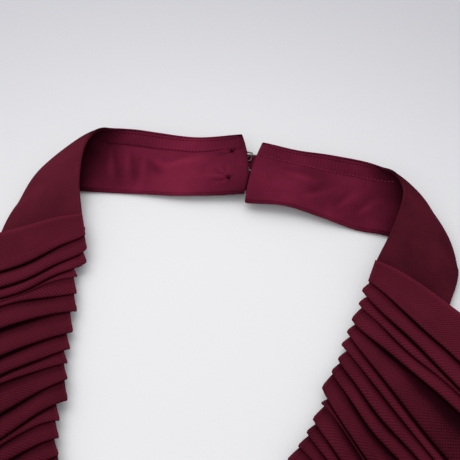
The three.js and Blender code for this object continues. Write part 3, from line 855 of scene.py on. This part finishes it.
# Where neckline and fan start, which way the fan runs, and the top edge's arch, sway and tip
PANELS = {
    "left": {
        "corner": (-82.1, -54.2),
        "bow": 3.4,
        "fan_start": (-122.9, -72.5),
        "fan_way": (0.312, -0.95),
        "top_edge": (-3.2, 1.5, -0.8),
    },
    "right": {
        "corner": (79.8, -58.5),
        "bow": -1.6,
        "fan_start": (130.1, -88.4),
        "fan_way": (-0.33, -0.944),
        "top_edge": (2.2, -0.1, 3.0),
    },
}
print("pleats with their own measures:", {side: len(rows) for side, rows in PLEAT_TABLES.items()})

# %% [markdown]
# A fold line is a curve through three places: one on the neckline, one further out that the fan
# gives, and one on the side or waist seam. An arch and a sway bend it near the neckline and die
# away. One class holds a panel's measures, so that every later step can ask where a line runs. k
# counts pleats from the top and may lie between two, and u goes from 0 at the neckline to 1 at the
# seam.

# %% Where the fold lines run
ARCH_START, ARCH_FADE = 9, 28
SWAY_LENGTH, SWAY_FADE = 46, 45
SHORT_PLEAT = 120
SEAM_CROWDING = 1.4
FAN_FADE = (11, 15)
FREE_REACH = 0.27


def between(values, k):
    """Value for a pleat, or for a place between two of them."""
    return np.interp(k, np.arange(len(values)), values)


class PanelLayout:
    """Where the fold lines of one panel run."""

    def __init__(self, side):
        self.side = side
        self.sign = SIDES[side]
        panel = PANELS[side]
        known = PLEAT_TABLES[side]
        self.start = np.array(panel["corner"], float)
        apex = np.array([self.sign * CENTRE_GAP, NECK_POINT_Y], float)
        self.neckline = np.linalg.norm(apex - self.start)
        self.along = (apex - self.start) / self.neckline
        outward = np.array([-self.along[1], self.along[0]])
        self.outward = outward * np.sign(outward[0] * self.sign)
        self.bow = panel["bow"]
        rest = (self.neckline - known[:, 0].sum()) / (PLEATS - len(known))
        pitches = np.concatenate([known[:, 0], np.full(PLEATS - len(known), rest)])
        spare = PLEATS - len(known)
        self.along_neck = np.concatenate([[0], np.cumsum(pitches)])
        self.along_fan = np.concatenate([[0], np.cumsum(known[:, 1])])
        self.fan_start = np.array(panel["fan_start"], float)
        self.fan_way = np.array(panel["fan_way"])
        top_edge = [(*panel["top_edge"], known[0, 5])]
        shapes = np.concatenate([top_edge, known[:, 2:], np.tile(EVEN_PLEAT, (spare, 1))])
        self.arches, self.sways, self.tips, self.heights = shapes.T

    def neck(self, k):
        s = between(self.along_neck, k)
        t = s / self.neckline
        bow = self.bow * 4 * t * (1 - t)
        return self.start + self.along * s[..., None] + self.outward * bow[..., None]

    def seam(self, k):
        underarm = np.array([self.sign * UNDERARM[0], UNDERARM[1]], float)
        waist_side = np.array([self.sign * WAIST[0], WAIST[1]], float)
        waist_front = np.array([self.sign * CENTRE_GAP, WAIST[1]], float)
        side_seam = np.linalg.norm(waist_side - underarm)
        waist_seam = np.linalg.norm(waist_front - waist_side)
        s = (side_seam + waist_seam) * (np.clip(k, 0, PLEATS) / PLEATS) ** SEAM_CROWDING
        first = np.clip(s / side_seam, 0, 1)[..., None]
        second = np.clip((s - side_seam) / waist_seam, 0, 1)[..., None]
        return underarm + (waist_side - underarm) * first + (waist_front - waist_side) * second

    def fan(self, k):
        neck = self.neck(k)
        free = mix(neck, self.seam(k), FREE_REACH)
        last = len(self.along_fan) - 1
        steered = self.fan_start + self.fan_way * between(self.along_fan, k)[..., None]
        share = np.clip((k - FAN_FADE[0]) / (FAN_FADE[1] - FAN_FADE[0]), 0, 1)
        return mix(steered, free, np.where(k > last, 1.0, share)[..., None])

    def fold(self, k, u):
        k, u = np.broadcast_arrays(np.asarray(k, float), np.asarray(u, float))
        neck, fan, seam = self.neck(k), self.fan(k), self.seam(k)
        near = np.linalg.norm(fan - neck, axis=-1, keepdims=True)
        t = near / (near + np.linalg.norm(seam - fan, axis=-1, keepdims=True))
        pull = (fan - neck * (1 - t) ** 2 - seam * t**2) / (2 * t * (1 - t))
        chord = seam - neck
        length = np.linalg.norm(chord, axis=-1)
        up = np.stack([-chord[..., 1], chord[..., 0]], axis=-1) / length[..., None]
        up = up * np.where(up[..., 1:] < 0, -1.0, 1.0)
        s = u * length
        arch = between(self.arches, k) * (1 - np.exp(-s / ARCH_START)) * np.exp(-s / ARCH_FADE)
        sway = between(self.sways, k) * np.sin(2 * pi * s / SWAY_LENGTH) * np.exp(-s / SWAY_FADE)
        crown = (arch + sway) * np.minimum(1, length / SHORT_PLEAT)
        v = u[..., None]
        return neck * (1 - v) ** 2 + pull * 2 * v * (1 - v) + seam * v**2 + up * crown[..., None]

    def length(self, k):
        return np.linalg.norm(self.seam(k) - self.neck(k), axis=-1)


layouts = {side: PanelLayout(side) for side in SIDES}
for side, layout in layouts.items():
    print(f"{side} panel: neckline {layout.neckline:.0f} mm, {PLEATS} pleats")

# %% [markdown]
# A panel doesn't lie flat. It comes up over the foot of the strap beneath it, and the bunched
# layers hold it off the back of the dress. Its underside is therefore worked out first, and the
# pleats stand on that.

# %% What the panels rest on
LOFT = 3.2
STRAP_EASE = 20
STRAP_CLEARANCE = 0.55
# Near the neckline the pleats are pressed to less than half their height
PRESSED_LEAST, PRESSED_UNTIL = 0.45, 32
FULL_RELIEF_PITCH = 9.0


def strap_under(layout, point):
    """Top of the strap's foot under a point, and how fully the foot lies under it."""
    rungs = BAND_RUNGS[layout.side]
    foot, top = rungs[0], rungs[1]
    foot_middle = (foot[:2] + foot[6:8]) / 2
    top_middle = (top[:2] + top[6:8]) / 2
    down = foot_middle - top_middle
    length = np.linalg.norm(down)
    down = down / length
    outward = unit(top[6:8] - top[:2])
    offset = point - top_middle
    along = offset @ down
    across = offset @ outward
    t = np.maximum(0, np.clip(1 - along / length, -0.05, 1.6) / (len(rungs) - 1))
    surface = band_point(layout.side, t, np.clip(0.5 + across / BAND_WIDTH, 0, 1))[..., 2] + 1.0
    beyond = np.hypot(np.maximum(0, np.abs(across) - BAND_WIDTH / 2), np.maximum(0, along - length))
    return surface, smooth(1 - beyond / STRAP_EASE)


def underside_height(layout, k, u, point):
    """Height that a panel lies at: puffed up over the back, and over the strap's foot."""
    puff = 0.7 + 0.2 * np.sin(0.55 * k + 1) + 0.1 * np.sin(1.7 * k)
    open_share = np.clip((PLEATS - k) / 4, 0, 1)
    arch = np.sin(pi * np.clip(u * 0.92 + 0.08, 0, 1)) ** 0.8
    free = UNDERSIDE + LOFT * puff * open_share * arch
    surface, share = strap_under(layout, point)
    return mix(free, surface + STRAP_CLEARANCE, share)


def fold_height(layout, k, u):
    """How high one fold stands: lower where pleats crowd, are pressed, or near the seam."""
    pitch = np.linalg.norm(layout.fold(k, u) - layout.fold(np.maximum(0, k - 1), u), axis=-1)
    room = np.where(k < 1, 1.0, np.minimum(1, pitch / FULL_RELIEF_PITCH))
    pressed = mix(PRESSED_LEAST, 1, smooth(u * layout.length(k) / PRESSED_UNTIL))
    return between(layout.heights, k) * room * pressed * (1 - 0.45 * u)


# %% [markdown]
# One pleat in section is a flat S: it rises from under the fold above, crowns, turns over its lip
# and runs back under itself. The same row of points serves every pleat. The top leaf is its own
# case, because its edge is turned under where it meets the strap.

# %% The zigzag of one pleat
# Each row: place down the pleat as a share of its pitch, and height as a share of the fold's
LEAF = np.array([
    (-0.42, 0.00),
    (-0.20, 0.02),
    (0.00, 0.08),
    (0.10, 0.28),
    (0.20, 0.50),
    (0.32, 0.72),
    (0.46, 0.90),
    (0.60, 1.02),
    (0.74, 1.08),
    (0.87, 1.04),
    (0.96, 0.93),
    (1.00, 0.80),
    (0.99, 0.66),
    (0.86, 0.50),
    (0.62, 0.20),
])
# The top leaf starts with its edge turned under
TURNED_EDGE = np.array([(0.45, 0.1), (0.06, 0.08), (0.0, 0.2), (-0.02, 0.42), (0.01, 0.62), (0.06, 0.72)])
FIRST_LEAF = np.array([(0.14, 0.74), (0.26, 0.66), (0.42, 0.66), (0.58, 0.82), (0.74, 1.0), (0.87, 1.02)])
# Columns along a pleat, in millimetres from the neckline's edge, close together there
NEAR_COLUMNS = (0, 0.25, 0.6, 1.0, 1.5, 1.9, 2.2, 2.6, 3.2, 4.0, 5.0, 6.2)
STANDARD_LENGTH = 190.0
FAR_COLUMNS = 74
HEM_TURN = 2.0
HEM_LIFT = 0.3
MESH_HALF_WALL = 0.22


def pleat_rows():
    """Every row of the zigzag: where it is, the pleat it belongs to, and its share of height."""
    rows = [(v, 0, h) for v, h in TURNED_EDGE] + [(v, 0, h) for v, h in FIRST_LEAF]
    rows += [(v, 0, h) for v, h in LEAF[9:]]
    for k in range(1, PLEATS):
        leaf = LEAF if k < PLEATS - 1 else LEAF[:11]
        rows += [(k + v, k, h) for v, h in leaf]
    return np.array(rows)


def column_shares():
    near = np.array(NEAR_COLUMNS)
    far = STANDARD_LENGTH - near[-1]
    steps = np.linspace(0, 1, FAR_COLUMNS + 1)[1:] ** 1.25
    return np.concatenate([near, near[-1] + far * steps]) / STANDARD_LENGTH


# %% [markdown]
# The photograph shows some pleats gaping and others pressed shut. Where one gapes, the leaf below
# lies deep in shade. Such pockets are listed by leaf, with the stretch along it that they take, and
# the tone goes down there.

# %% Tone of the pleats
# Tones of the leaves: painted shade under each fold, a painted highlight on each ridge, painted shade in the
# pockets
LEAF_TONE = 0.475
SHADE_TONE = 0.44
RIDGE_PAINTED_HIGHLIGHT = 0.14
POCKET_PAINTED_SHADE = 0.4
# The top leaf's tone, and a painted highlight on its turned edge
FIRST_LEAF_TONE, FIRST_EDGE_PAINTED_HIGHLIGHT = 0.56, 0.2
# Each pocket: leaf, from and to along it in millimetres, how deep and how wide
POCKETS = {
    "left": [(3, 30, 85, 0.8, 0.5), (6, 34, 95, 1.0, 0.9), (7, 24, 90, 1.0, 0.8), (12, 20, 70, 0.8, 0.6)],
    "right": [
        (2, 16, 48, 0.6, 0.2),
        (3, 12, 44, 1.0, 0.4),
        (4, 4, 130, 0.8, 0.3),
        (4, 26, 130, 0.9, 2.2),
        (5, 30, 120, 0.5, 1.0),
        (8, 8, 48, 0.9, 0.5),
        (10, 5, 45, 0.6, 0.4),
    ],
}


def pleat_tone(side, v, leaf, share, s):
    """Painted shade and light: each leaf is deep in tone where it comes out from under the fold above it."""
    opened = 0.3 + 0.7 * smooth(s / 30)
    shadow = np.interp(share, [0.0, 0.1, 0.5, 0.9], [1.0, 0.85, 0.3, 0.0])
    # Painted highlight along each leaf's crest
    ridge = RIDGE_PAINTED_HIGHLIGHT * bump(share - 1.04, 0.22)
    # Painted shade, a little deeper on each lower leaf
    lower = 0.03 + 0.12 * smooth((leaf - 1) / 9)
    tone = LEAF_TONE - lower - SHADE_TONE * opened * shadow + ridge
    # Painted shade in the pockets where a pleat gapes
    for pocket, start, end, depth, breadth in POCKETS[side]:
        inside = smooth((s - start) / 16) * smooth((end - s) / 25) * (leaf == pocket)
        reach = np.interp(share, [0.0, 0.3, 0.3 + 0.7 * breadth], [1.0, 0.9, 0.0])
        tone = tone - POCKET_PAINTED_SHADE * depth * inside * reach
    # The top leaf, with a painted highlight on its turned edge
    first = FIRST_LEAF_TONE + FIRST_EDGE_PAINTED_HIGHLIGHT * bump(v - 0.04, 0.05)
    # Painted highlight where each folded tip meets the neckline
    painted_tip_highlight = 0.1 * bump(s - 0.5, 0.6)
    return np.clip(np.where(leaf == 0, first, tone) + painted_tip_highlight, 0.02, 1)


# %% [markdown]
# With the layout, the ground and the section in hand, a panel is one grid: rows go round the
# pleats, columns run along them. At the neckline each leaf slants out to its folded tip, which
# gives the edge its saw-tooth line.


# %% Both pleated panels
TIP_SLANT = 2.6
TIP_FADE = 5.0
# Place down a leaf, and the share of its slant that the neckline's edge has there
TIP_PROFILE = ([-0.42, 0.0, 0.9, 1.0, 1.02], [-0.1, 0.05, 1.0, 0.93, 0.8])
FOLD_LIFT = 1.1


def pleated_panel(side):
    layout = layouts[side]
    v, leaf, share = (column[:, None] for column in pleat_rows().T)
    v, leaf, share, u = np.broadcast_arrays(np.clip(v, 0, PLEATS), leaf, share, column_shares()[None])
    plan = layout.fold(v, u)
    base = underside_height(layout, v, u, plan) + BODY_WALL / 2
    lip = fold_height(layout, leaf + 1, u)
    s = u * layout.length(v)
    out = np.interp(v - leaf, *TIP_PROFILE)
    tip = between(layout.tips, leaf + 1) - (1 - out) * TIP_SLANT
    tip = np.where(leaf == 0, between(layout.tips, v), tip)
    fade = np.clip((PLEATS - v) / 5, 0, 1) * bump(s, TIP_FADE)
    outward = unit(plan - layout.fold(v, u + 0.01))
    plan = plan + outward * (tip * fade)[..., None]
    hem = HEM_LIFT * smooth((HEM_TURN - s) / 0.3)
    height = base + lip * share * FOLD_LIFT + hem
    middle = np.concatenate([plan, height[..., None]], axis=-1)
    across = run_lengths(middle, 0).mean(axis=1, keepdims=True)
    tone = pleat_tone(side, v, leaf, share, s)
    cloth = np.stack(np.broadcast_arrays(s, across, tone), axis=-1)
    if side == "right":
        middle = middle[:, ::-1]
        cloth = cloth[:, ::-1]
    piece = closed_cloth(f"bodice_front_{side}_pleats", middle, MESH_HALF_WALL, cloth, [PLEAT_CLOTH])
    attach(piece, "root")
    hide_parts(f"bodice_front_{side}")
    widest = run_lengths(middle, 0)[-1].max()
    longest = run_lengths(middle, 1)[:, -1].max()
    print(f"{side} panel unpleated: {widest:.0f} mm round the pleats, {longest:.0f} mm long")
    return piece


panels = {side: pleated_panel(side) for side in SIDES}

# %% [markdown]
# ## Back and skirt
# The photograph ends at the upper pleats, so the rest follows from how such a dress is cut: a low
# back, a waist seam, and a long skirt whose gathered fullness falls in soft folds. Each is one
# sheet over its solid.

# %% Back of the bodice
PLAIN_TONE = 0.5
MESH_SHEET_HALF_WALL = 0.35
BACK_HEIGHT = 0.8
NECK_TURNING, NECK_TURNING_WALL = 9, 0.18


def sheet_piece(name, middle, half, finish, node, tone=PLAIN_TONE):
    """A sheet whose threads follow x and y, as one piece in place of one solid."""
    cloth = middle * (1, 1, 0)
    cloth[..., 2] = tone
    piece = closed_cloth(name, middle, half, cloth, [finish])
    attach(piece, "root")
    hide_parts(node)
    return piece


def bodice_back():
    t = edge_spaced(61)[:, None]
    a = np.linspace(-1, 1, 161)[None]
    neck_y = BACK_NECK_Y + (UNDERARM[1] - BACK_NECK_Y) * a**2
    y = mix(WAIST[1], neck_y, t)
    x = a * mix(WAIST[0], UNDERARM[0], (y - WAIST[1]) / (UNDERARM[1] - WAIST[1]))
    z = BACK_HEIGHT + 0.18 * np.sin(x / 11 + y / 17) + 0.12 * np.sin(x / 6 - y / 9)
    middle = np.stack([x, y, z], axis=-1)
    from_edge = (neck_y - y) + 0.05
    half = MESH_SHEET_HALF_WALL + NECK_TURNING_WALL * smooth((NECK_TURNING - from_edge) / 0.6)
    return sheet_piece("bodice_back_mesh", middle, half, PLEAT_CLOTH, "bodice_back")


back = bodice_back()

# %% [markdown]
# The skirt's outline is a smooth A: it swells from waist to hip like a quarter of a sine wave and
# then runs almost straight to the hem. Its folds are soft bumps across it. Each starts at its own
# place under the waist seam and grows on its way to the hem. A cloth simulation could drape a skirt
# too, but these folds stay on those of the solid.

# %% Outline and folds of the skirt
# Each fold: place at the waist and at the hem, from -1 to 1 across, then width and height
SKIRT_FOLDS = (
    (-0.78, -0.8, 46, 6),
    (-0.5, -0.47, 54, 9),
    (-0.22, -0.19, 42, 6),
    (0.02, 0.06, 60, 12),
    (0.3, 0.31, 44, 7),
    (0.55, 0.56, 52, 9),
    (0.8, 0.82, 42, 6),
)
SKIRT_TOP_Y = WAIST[1] - 0.3


def skirt_half(y):
    down = np.clip((WAIST[1] - y) / (WAIST[1] - HIP[1]), 0, 1)
    upper = WAIST[0] + (HIP[0] - WAIST[0]) * np.sin(pi / 2 * down)
    lower = mix(HIP[0], HEM[0], np.clip((HIP[1] - y) / (HIP[1] - HEM[1]), 0, 1) ** 1.05)
    return np.where(y > HIP[1], upper, lower)


def skirt_fold(a, y):
    """Height of the front's folds: a runs from -1 to 1 across it, y down it."""
    down = (SKIRT_TOP_Y - y) / (SKIRT_TOP_Y - HEM[1])
    half = skirt_half(y)
    grown = 0.3 + 0.7 * smooth(down * 1.3)
    edge = smooth((1 - np.abs(a)) / 0.06)
    total = 0
    for waist, hem, width, height in SKIRT_FOLDS:
        spread = width * (0.55 + 0.45 * down)
        aside = (a - mix(waist, hem, down)) * half * 1.7
        total = total + height * bump(aside, spread)
    return grown * edge * total


def small_gathers(a, y):
    """Narrow ripples under the waist seam that fade as the skirt widens."""
    down = (SKIRT_TOP_Y - y) / (SKIRT_TOP_Y - HEM[1])
    fade = np.exp(-down * 7) * smooth((1 - np.abs(a)) / 0.05)
    ripple = np.sin(a * 74 + 1.3 * np.sin(a * 9)) + 0.5 * np.sin(a * 47 + 2)
    broad = 0.5 * np.sin(a * 31 + 5 * down + 1) * smooth(down * 3) * smooth((1 - np.abs(a)) / 0.1)
    return 0.75 * fade * ripple + broad


# %% [markdown]
# Front and back are one grid each. The rows lie closer together near the waist, where the gathers
# are narrow. The tone is painted light and shade that follows the height of the folds and gathers,
# lighter on their crests and darker between them, and a darker line marks the waist seam and the
# stitching of the hem.

# %% Skirt
HEM_DEPTH = 20
SKIRT_TONE = 0.38
# Painted light on the crests of the folds and of the gathers
FOLD_PAINTED_LIGHT = 0.26
GATHER_PAINTED_LIGHT = 0.07
SEAM_TONE = 0.25
HEM_TONE = 0.16


def skirt_grid(rows, columns):
    y = mix(SKIRT_TOP_Y, HEM[1], np.linspace(0, 1, rows) ** 1.15)[:, None]
    a = np.linspace(-1, 1, columns)[None]
    return np.broadcast_arrays(y, a)


def skirt_front():
    y, a = skirt_grid(170, 241)
    z = UNDERSIDE + BODY_WALL / 2 + skirt_fold(a, y) + small_gathers(a, y)
    middle = np.stack([a * skirt_half(y), y, z], axis=-1)
    from_hem = y - HEM[1]
    half = MESH_SHEET_HALF_WALL + 0.2 * smooth((HEM_DEPTH - from_hem) / 1.5)
    # Painted light and shade that follow the folds and gathers
    tone = SKIRT_TONE + FOLD_PAINTED_LIGHT * smooth(skirt_fold(a, y) / 9) + GATHER_PAINTED_LIGHT * small_gathers(a, y)
    tone = tone - SEAM_TONE * bump(SKIRT_TOP_Y - y, 5) - HEM_TONE * bump(from_hem - HEM_DEPTH - 1, 3.5)
    tone = np.clip(tone, 0.1, 0.9)
    return sheet_piece("skirt_front_mesh", middle, half, SKIRT_CLOTH, "skirt_front", tone)


def skirt_back():
    y, a = skirt_grid(90, 81)
    z = BACK_HEIGHT + 0.15 * np.sin(a * 13 + y / 40)
    middle = np.stack([a * skirt_half(y), y, z], axis=-1)
    half = MESH_SHEET_HALF_WALL + 0.1 * smooth((HEM_DEPTH - (y - HEM[1])) / 1.5)
    return sheet_piece("skirt_back_mesh", middle, half, SKIRT_CLOTH, "skirt_back")


skirts = {"front": skirt_front(), "back": skirt_back()}

# %% [markdown]
# ## The closure
# Two wire hooks catch two wire eyes, over a small flap that keeps them off the skin. The flap and
# the wires lie under the band's ends, so little of them shows.

# %% Flap under the closure
UNDERLAP = {"left": -12, "right": 12, "low": -14, "high": 11.5}
WIRE = 0.9
SOLID_HALF_WALL = 1.0
SEAM_GAP = 0.3
AIR = 0.1
HOOK_DEPTH = SOLID_HALF_WALL + SEAM_GAP + WIRE / 2 + AIR
HOOK_BEND = 0.75
EYE_DEPTH = HOOK_DEPTH + 2 * HOOK_BEND
UNDERLAP_DEPTH = EYE_DEPTH + WIRE / 2 + SEAM_GAP + AIR
FLAP_MIDDLE = 0.5
FLAP_HALF_WALL = 0.4
# The band's ends there: height to the left and right, rise along y, and fall to both sides
CLOSURE_LEVELS = (7.3, 7.8)
CLOSURE_RISE = 0.115
CLOSURE_FALL = 0.05
# Where each pair of hook and eye lies along y
PAIRS = {"upper": 9.5, "lower": -2.0}


def closure_height(x, y, depth):
    """Height of a place that lies this deep under the middle of the band's ends."""
    level = mix(*CLOSURE_LEVELS, smooth((x + 2) / 6))
    return level + CLOSURE_RISE * y - CLOSURE_FALL * np.abs(x) - depth


def underlap():
    y, x = np.meshgrid(
        np.linspace(UNDERLAP["low"], UNDERLAP["high"], 41),
        np.linspace(UNDERLAP["left"], UNDERLAP["right"], 41),
        indexing="ij",
    )
    z = closure_height(x, y, UNDERLAP_DEPTH + FLAP_MIDDLE)
    middle = np.stack([x, y, z], axis=-1)
    return sheet_piece("closure_flap", middle, FLAP_HALF_WALL, LINING, "closure_underlap")


flap = underlap()

# %% [markdown]
# A bent wire needs only its corners: a smooth curve goes through them, and the tube gives it its
# thickness. The eye is a flat loop with two legs under the left end. The hook's shank lies under the
# right end, passes over the eye's bar and turns down behind it.

# %% Hooks and eyes
LEG_APART = 3.2


def rounded_path(corners, count=60):
    """Smooth curve through a few corners, evenly spread along its length."""
    corners = np.array(corners, float)
    at = np.linspace(0, len(corners) - 1, 400)
    curve = through_rows(corners, at)
    far = run_lengths(curve)
    even = np.linspace(0, far[-1], count)
    return np.stack([np.interp(even, far, curve[:, axis]) for axis in range(3)], axis=-1)


def wire_piece(name, corners, node):
    """Round wire through its corners, each given as x, y and depth."""
    places = [(x, y, closure_height(x, y, depth)) for x, y, depth in corners]
    points, faces = tube(rounded_path(places), WIRE / 2, 12)
    piece = new_object(name, points, faces, points, [STEEL])
    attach(piece, "root")
    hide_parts(node)
    print(f"{name}: {len(points)} points")
    return piece


def eye_corners(y):
    def leg(way):
        return [
            (-9, y + way * LEG_APART, HOOK_DEPTH),
            (-6, y + way * LEG_APART, HOOK_DEPTH),
            (-0.9, y + way * LEG_APART, EYE_DEPTH),
            (0.9, y + way * 2.9, EYE_DEPTH),
            (1.2, y + way * 2.1, EYE_DEPTH),
        ]

    return leg(1) + leg(-1)[::-1]


def hook_corners(y):
    bend_x = -1.7 + HOOK_BEND
    turns = np.linspace(0, pi, 5)
    bend = [
        (bend_x - HOOK_BEND * np.sin(turn), y, HOOK_DEPTH + HOOK_BEND * (1 - np.cos(turn)))
        for turn in turns
    ]
    return [(11, y, HOOK_DEPTH), (4, y, HOOK_DEPTH), *bend, (bend_x + 0.5, y, EYE_DEPTH)]


for pair, y in PAIRS.items():
    wire_piece(f"eye_{pair}_wire", eye_corners(y), f"eye_{pair}")
    wire_piece(f"hook_{pair}_wire", hook_corners(y), f"hook_{pair}")

# %% [markdown]
# ## Table, light and camera
# The table is plain and pale, with a pool of light painted on it: it is lighter in a patch that
# starts below the closure and runs down along the dress. Vector Math tells how far a place lies from
# the patch: Subtract puts its start at zero, Multiply widens it a little, Maximum leaves out how far
# down a place lies, and Length measures the rest.

# %% Table
# Start, widening and soft edge of the pool of light painted on the table
POOL = (0.0, SHIFT_Y / 1000 - 0.1)
POOL_STRETCH = 0.85
POOL_EDGE = (0.02, 0.36)
TABLE_REACH = 6.0
TABLE_GAP = 0.0002
NO_LIMIT = -99.0


def table():
    finish = Finish("pale_table_painted_light_pool")
    place = finish.node("ShaderNodeTexCoord", output="Object")
    from_pool = finish.node("ShaderNodeVectorMath", {"operation": "SUBTRACT"}, {0: place, 1: (*POOL, 0.0)})
    flattened = {0: from_pool, 1: (POOL_STRETCH, 1.0, 0.0)}
    spread = finish.node("ShaderNodeVectorMath", {"operation": "MULTIPLY"}, flattened)
    beyond = {0: spread, 1: (NO_LIMIT, 0.0, 0.0)}
    reach = finish.node("ShaderNodeVectorMath", {"operation": "MAXIMUM"}, beyond)
    distance = finish.node("ShaderNodeVectorMath", {"operation": "LENGTH"}, {0: reach}, output="Value")
    # Outside the painted pool of light the table is darker
    outside = finish.step(distance, *POOL_EDGE)
    return finish.finish_with(
        {
            "Base Color": finish.colour_mix(outside, colour(233, 233, 234), colour(195, 195, 199)),
            "Roughness": 0.85,
            "Specular IOR Level": 0.1,
        }
    )


floor_mesh = bpy.data.meshes.new("table_top")
corners = [(x * TABLE_REACH, y * TABLE_REACH, 0) for x, y in ((-1, -1), (1, -1), (1, 1), (-1, 1))]
floor_mesh.from_pydata(corners, [], [(0, 1, 2, 3)])
floor_mesh.materials.append(table())
floor = bpy.data.objects.new("table_top", floor_mesh)
bpy.context.collection.objects.link(floor)
floor.location.z = CAD_BOX[0][2] - TABLE_GAP
print("table top:", 2 * TABLE_REACH, "m square")

# %% [markdown]
# The light in the photograph is soft. A wide disk lamp gives most of it, from beyond the neckline
# and a little from the left. A weaker one over the skirt lights the near part, and a pale world
# fills the shadows.


# %% Light
def soft_lamp(name, place, aim, size, power):
    lamp = bpy.data.lights.new(name, "AREA")
    lamp.shape = "DISK"
    lamp.size = size
    lamp.energy = power
    holder = bpy.data.objects.new(name, lamp)
    bpy.context.collection.objects.link(holder)
    holder.location = place
    way = np.array(aim) - np.array(place)
    tilt = np.arctan2(np.hypot(way[0], way[1]), -way[2])
    turn = np.arctan2(way[1], way[0]) - pi / 2
    holder.rotation_euler = (tilt, 0, turn)
    print(f"{name}: {power} W, {size} m wide")


NECK_Y = SHIFT_Y / 1000
soft_lamp("lamp_beyond", (-0.5, NECK_Y + 0.6, 1.15), aim=(0, NECK_Y - 0.05, 0), size=1.8, power=12.2)
soft_lamp("lamp_over_skirt", (-0.4, -0.8, 1.3), aim=(0, -0.5, 0), size=1.2, power=5.0)
world = bpy.data.worlds.new("pale_room")
world.use_nodes = True
background = world.node_tree.nodes["Background"]
background.inputs["Color"].default_value = (0.97, 0.97, 1.0, 1)
background.inputs["Strength"].default_value = 0.64
bpy.context.scene.world = world
bpy.context.scene.view_settings.view_transform = "Standard"

# %% [markdown]
# The camera stands where the measured points of the neckband fall on their places in the picture:
# a 50 mm lens, tilted 39 degrees from straight down and turned by 10.5 degrees.

# %% Camera
CAMERA_PLACE = (38.69, -263.97, 275.89)
CAMERA_TILT = 39
CAMERA_TURN = 10.5
camera_data = bpy.data.cameras.new("camera")
camera_data.lens = 50
camera_data.sensor_width = 36
camera_data.clip_start = 0.01
camera = bpy.data.objects.new("camera", camera_data)
camera.location = to_row(CAMERA_PLACE)
camera.rotation_euler = (radians(CAMERA_TILT), 0, radians(CAMERA_TURN))
bpy.context.collection.objects.link(camera)
bpy.context.scene.camera = camera
print("camera at", [round(value, 4) for value in camera.location])

print("sheets declared:", 3 * len(SIDES) + 4)
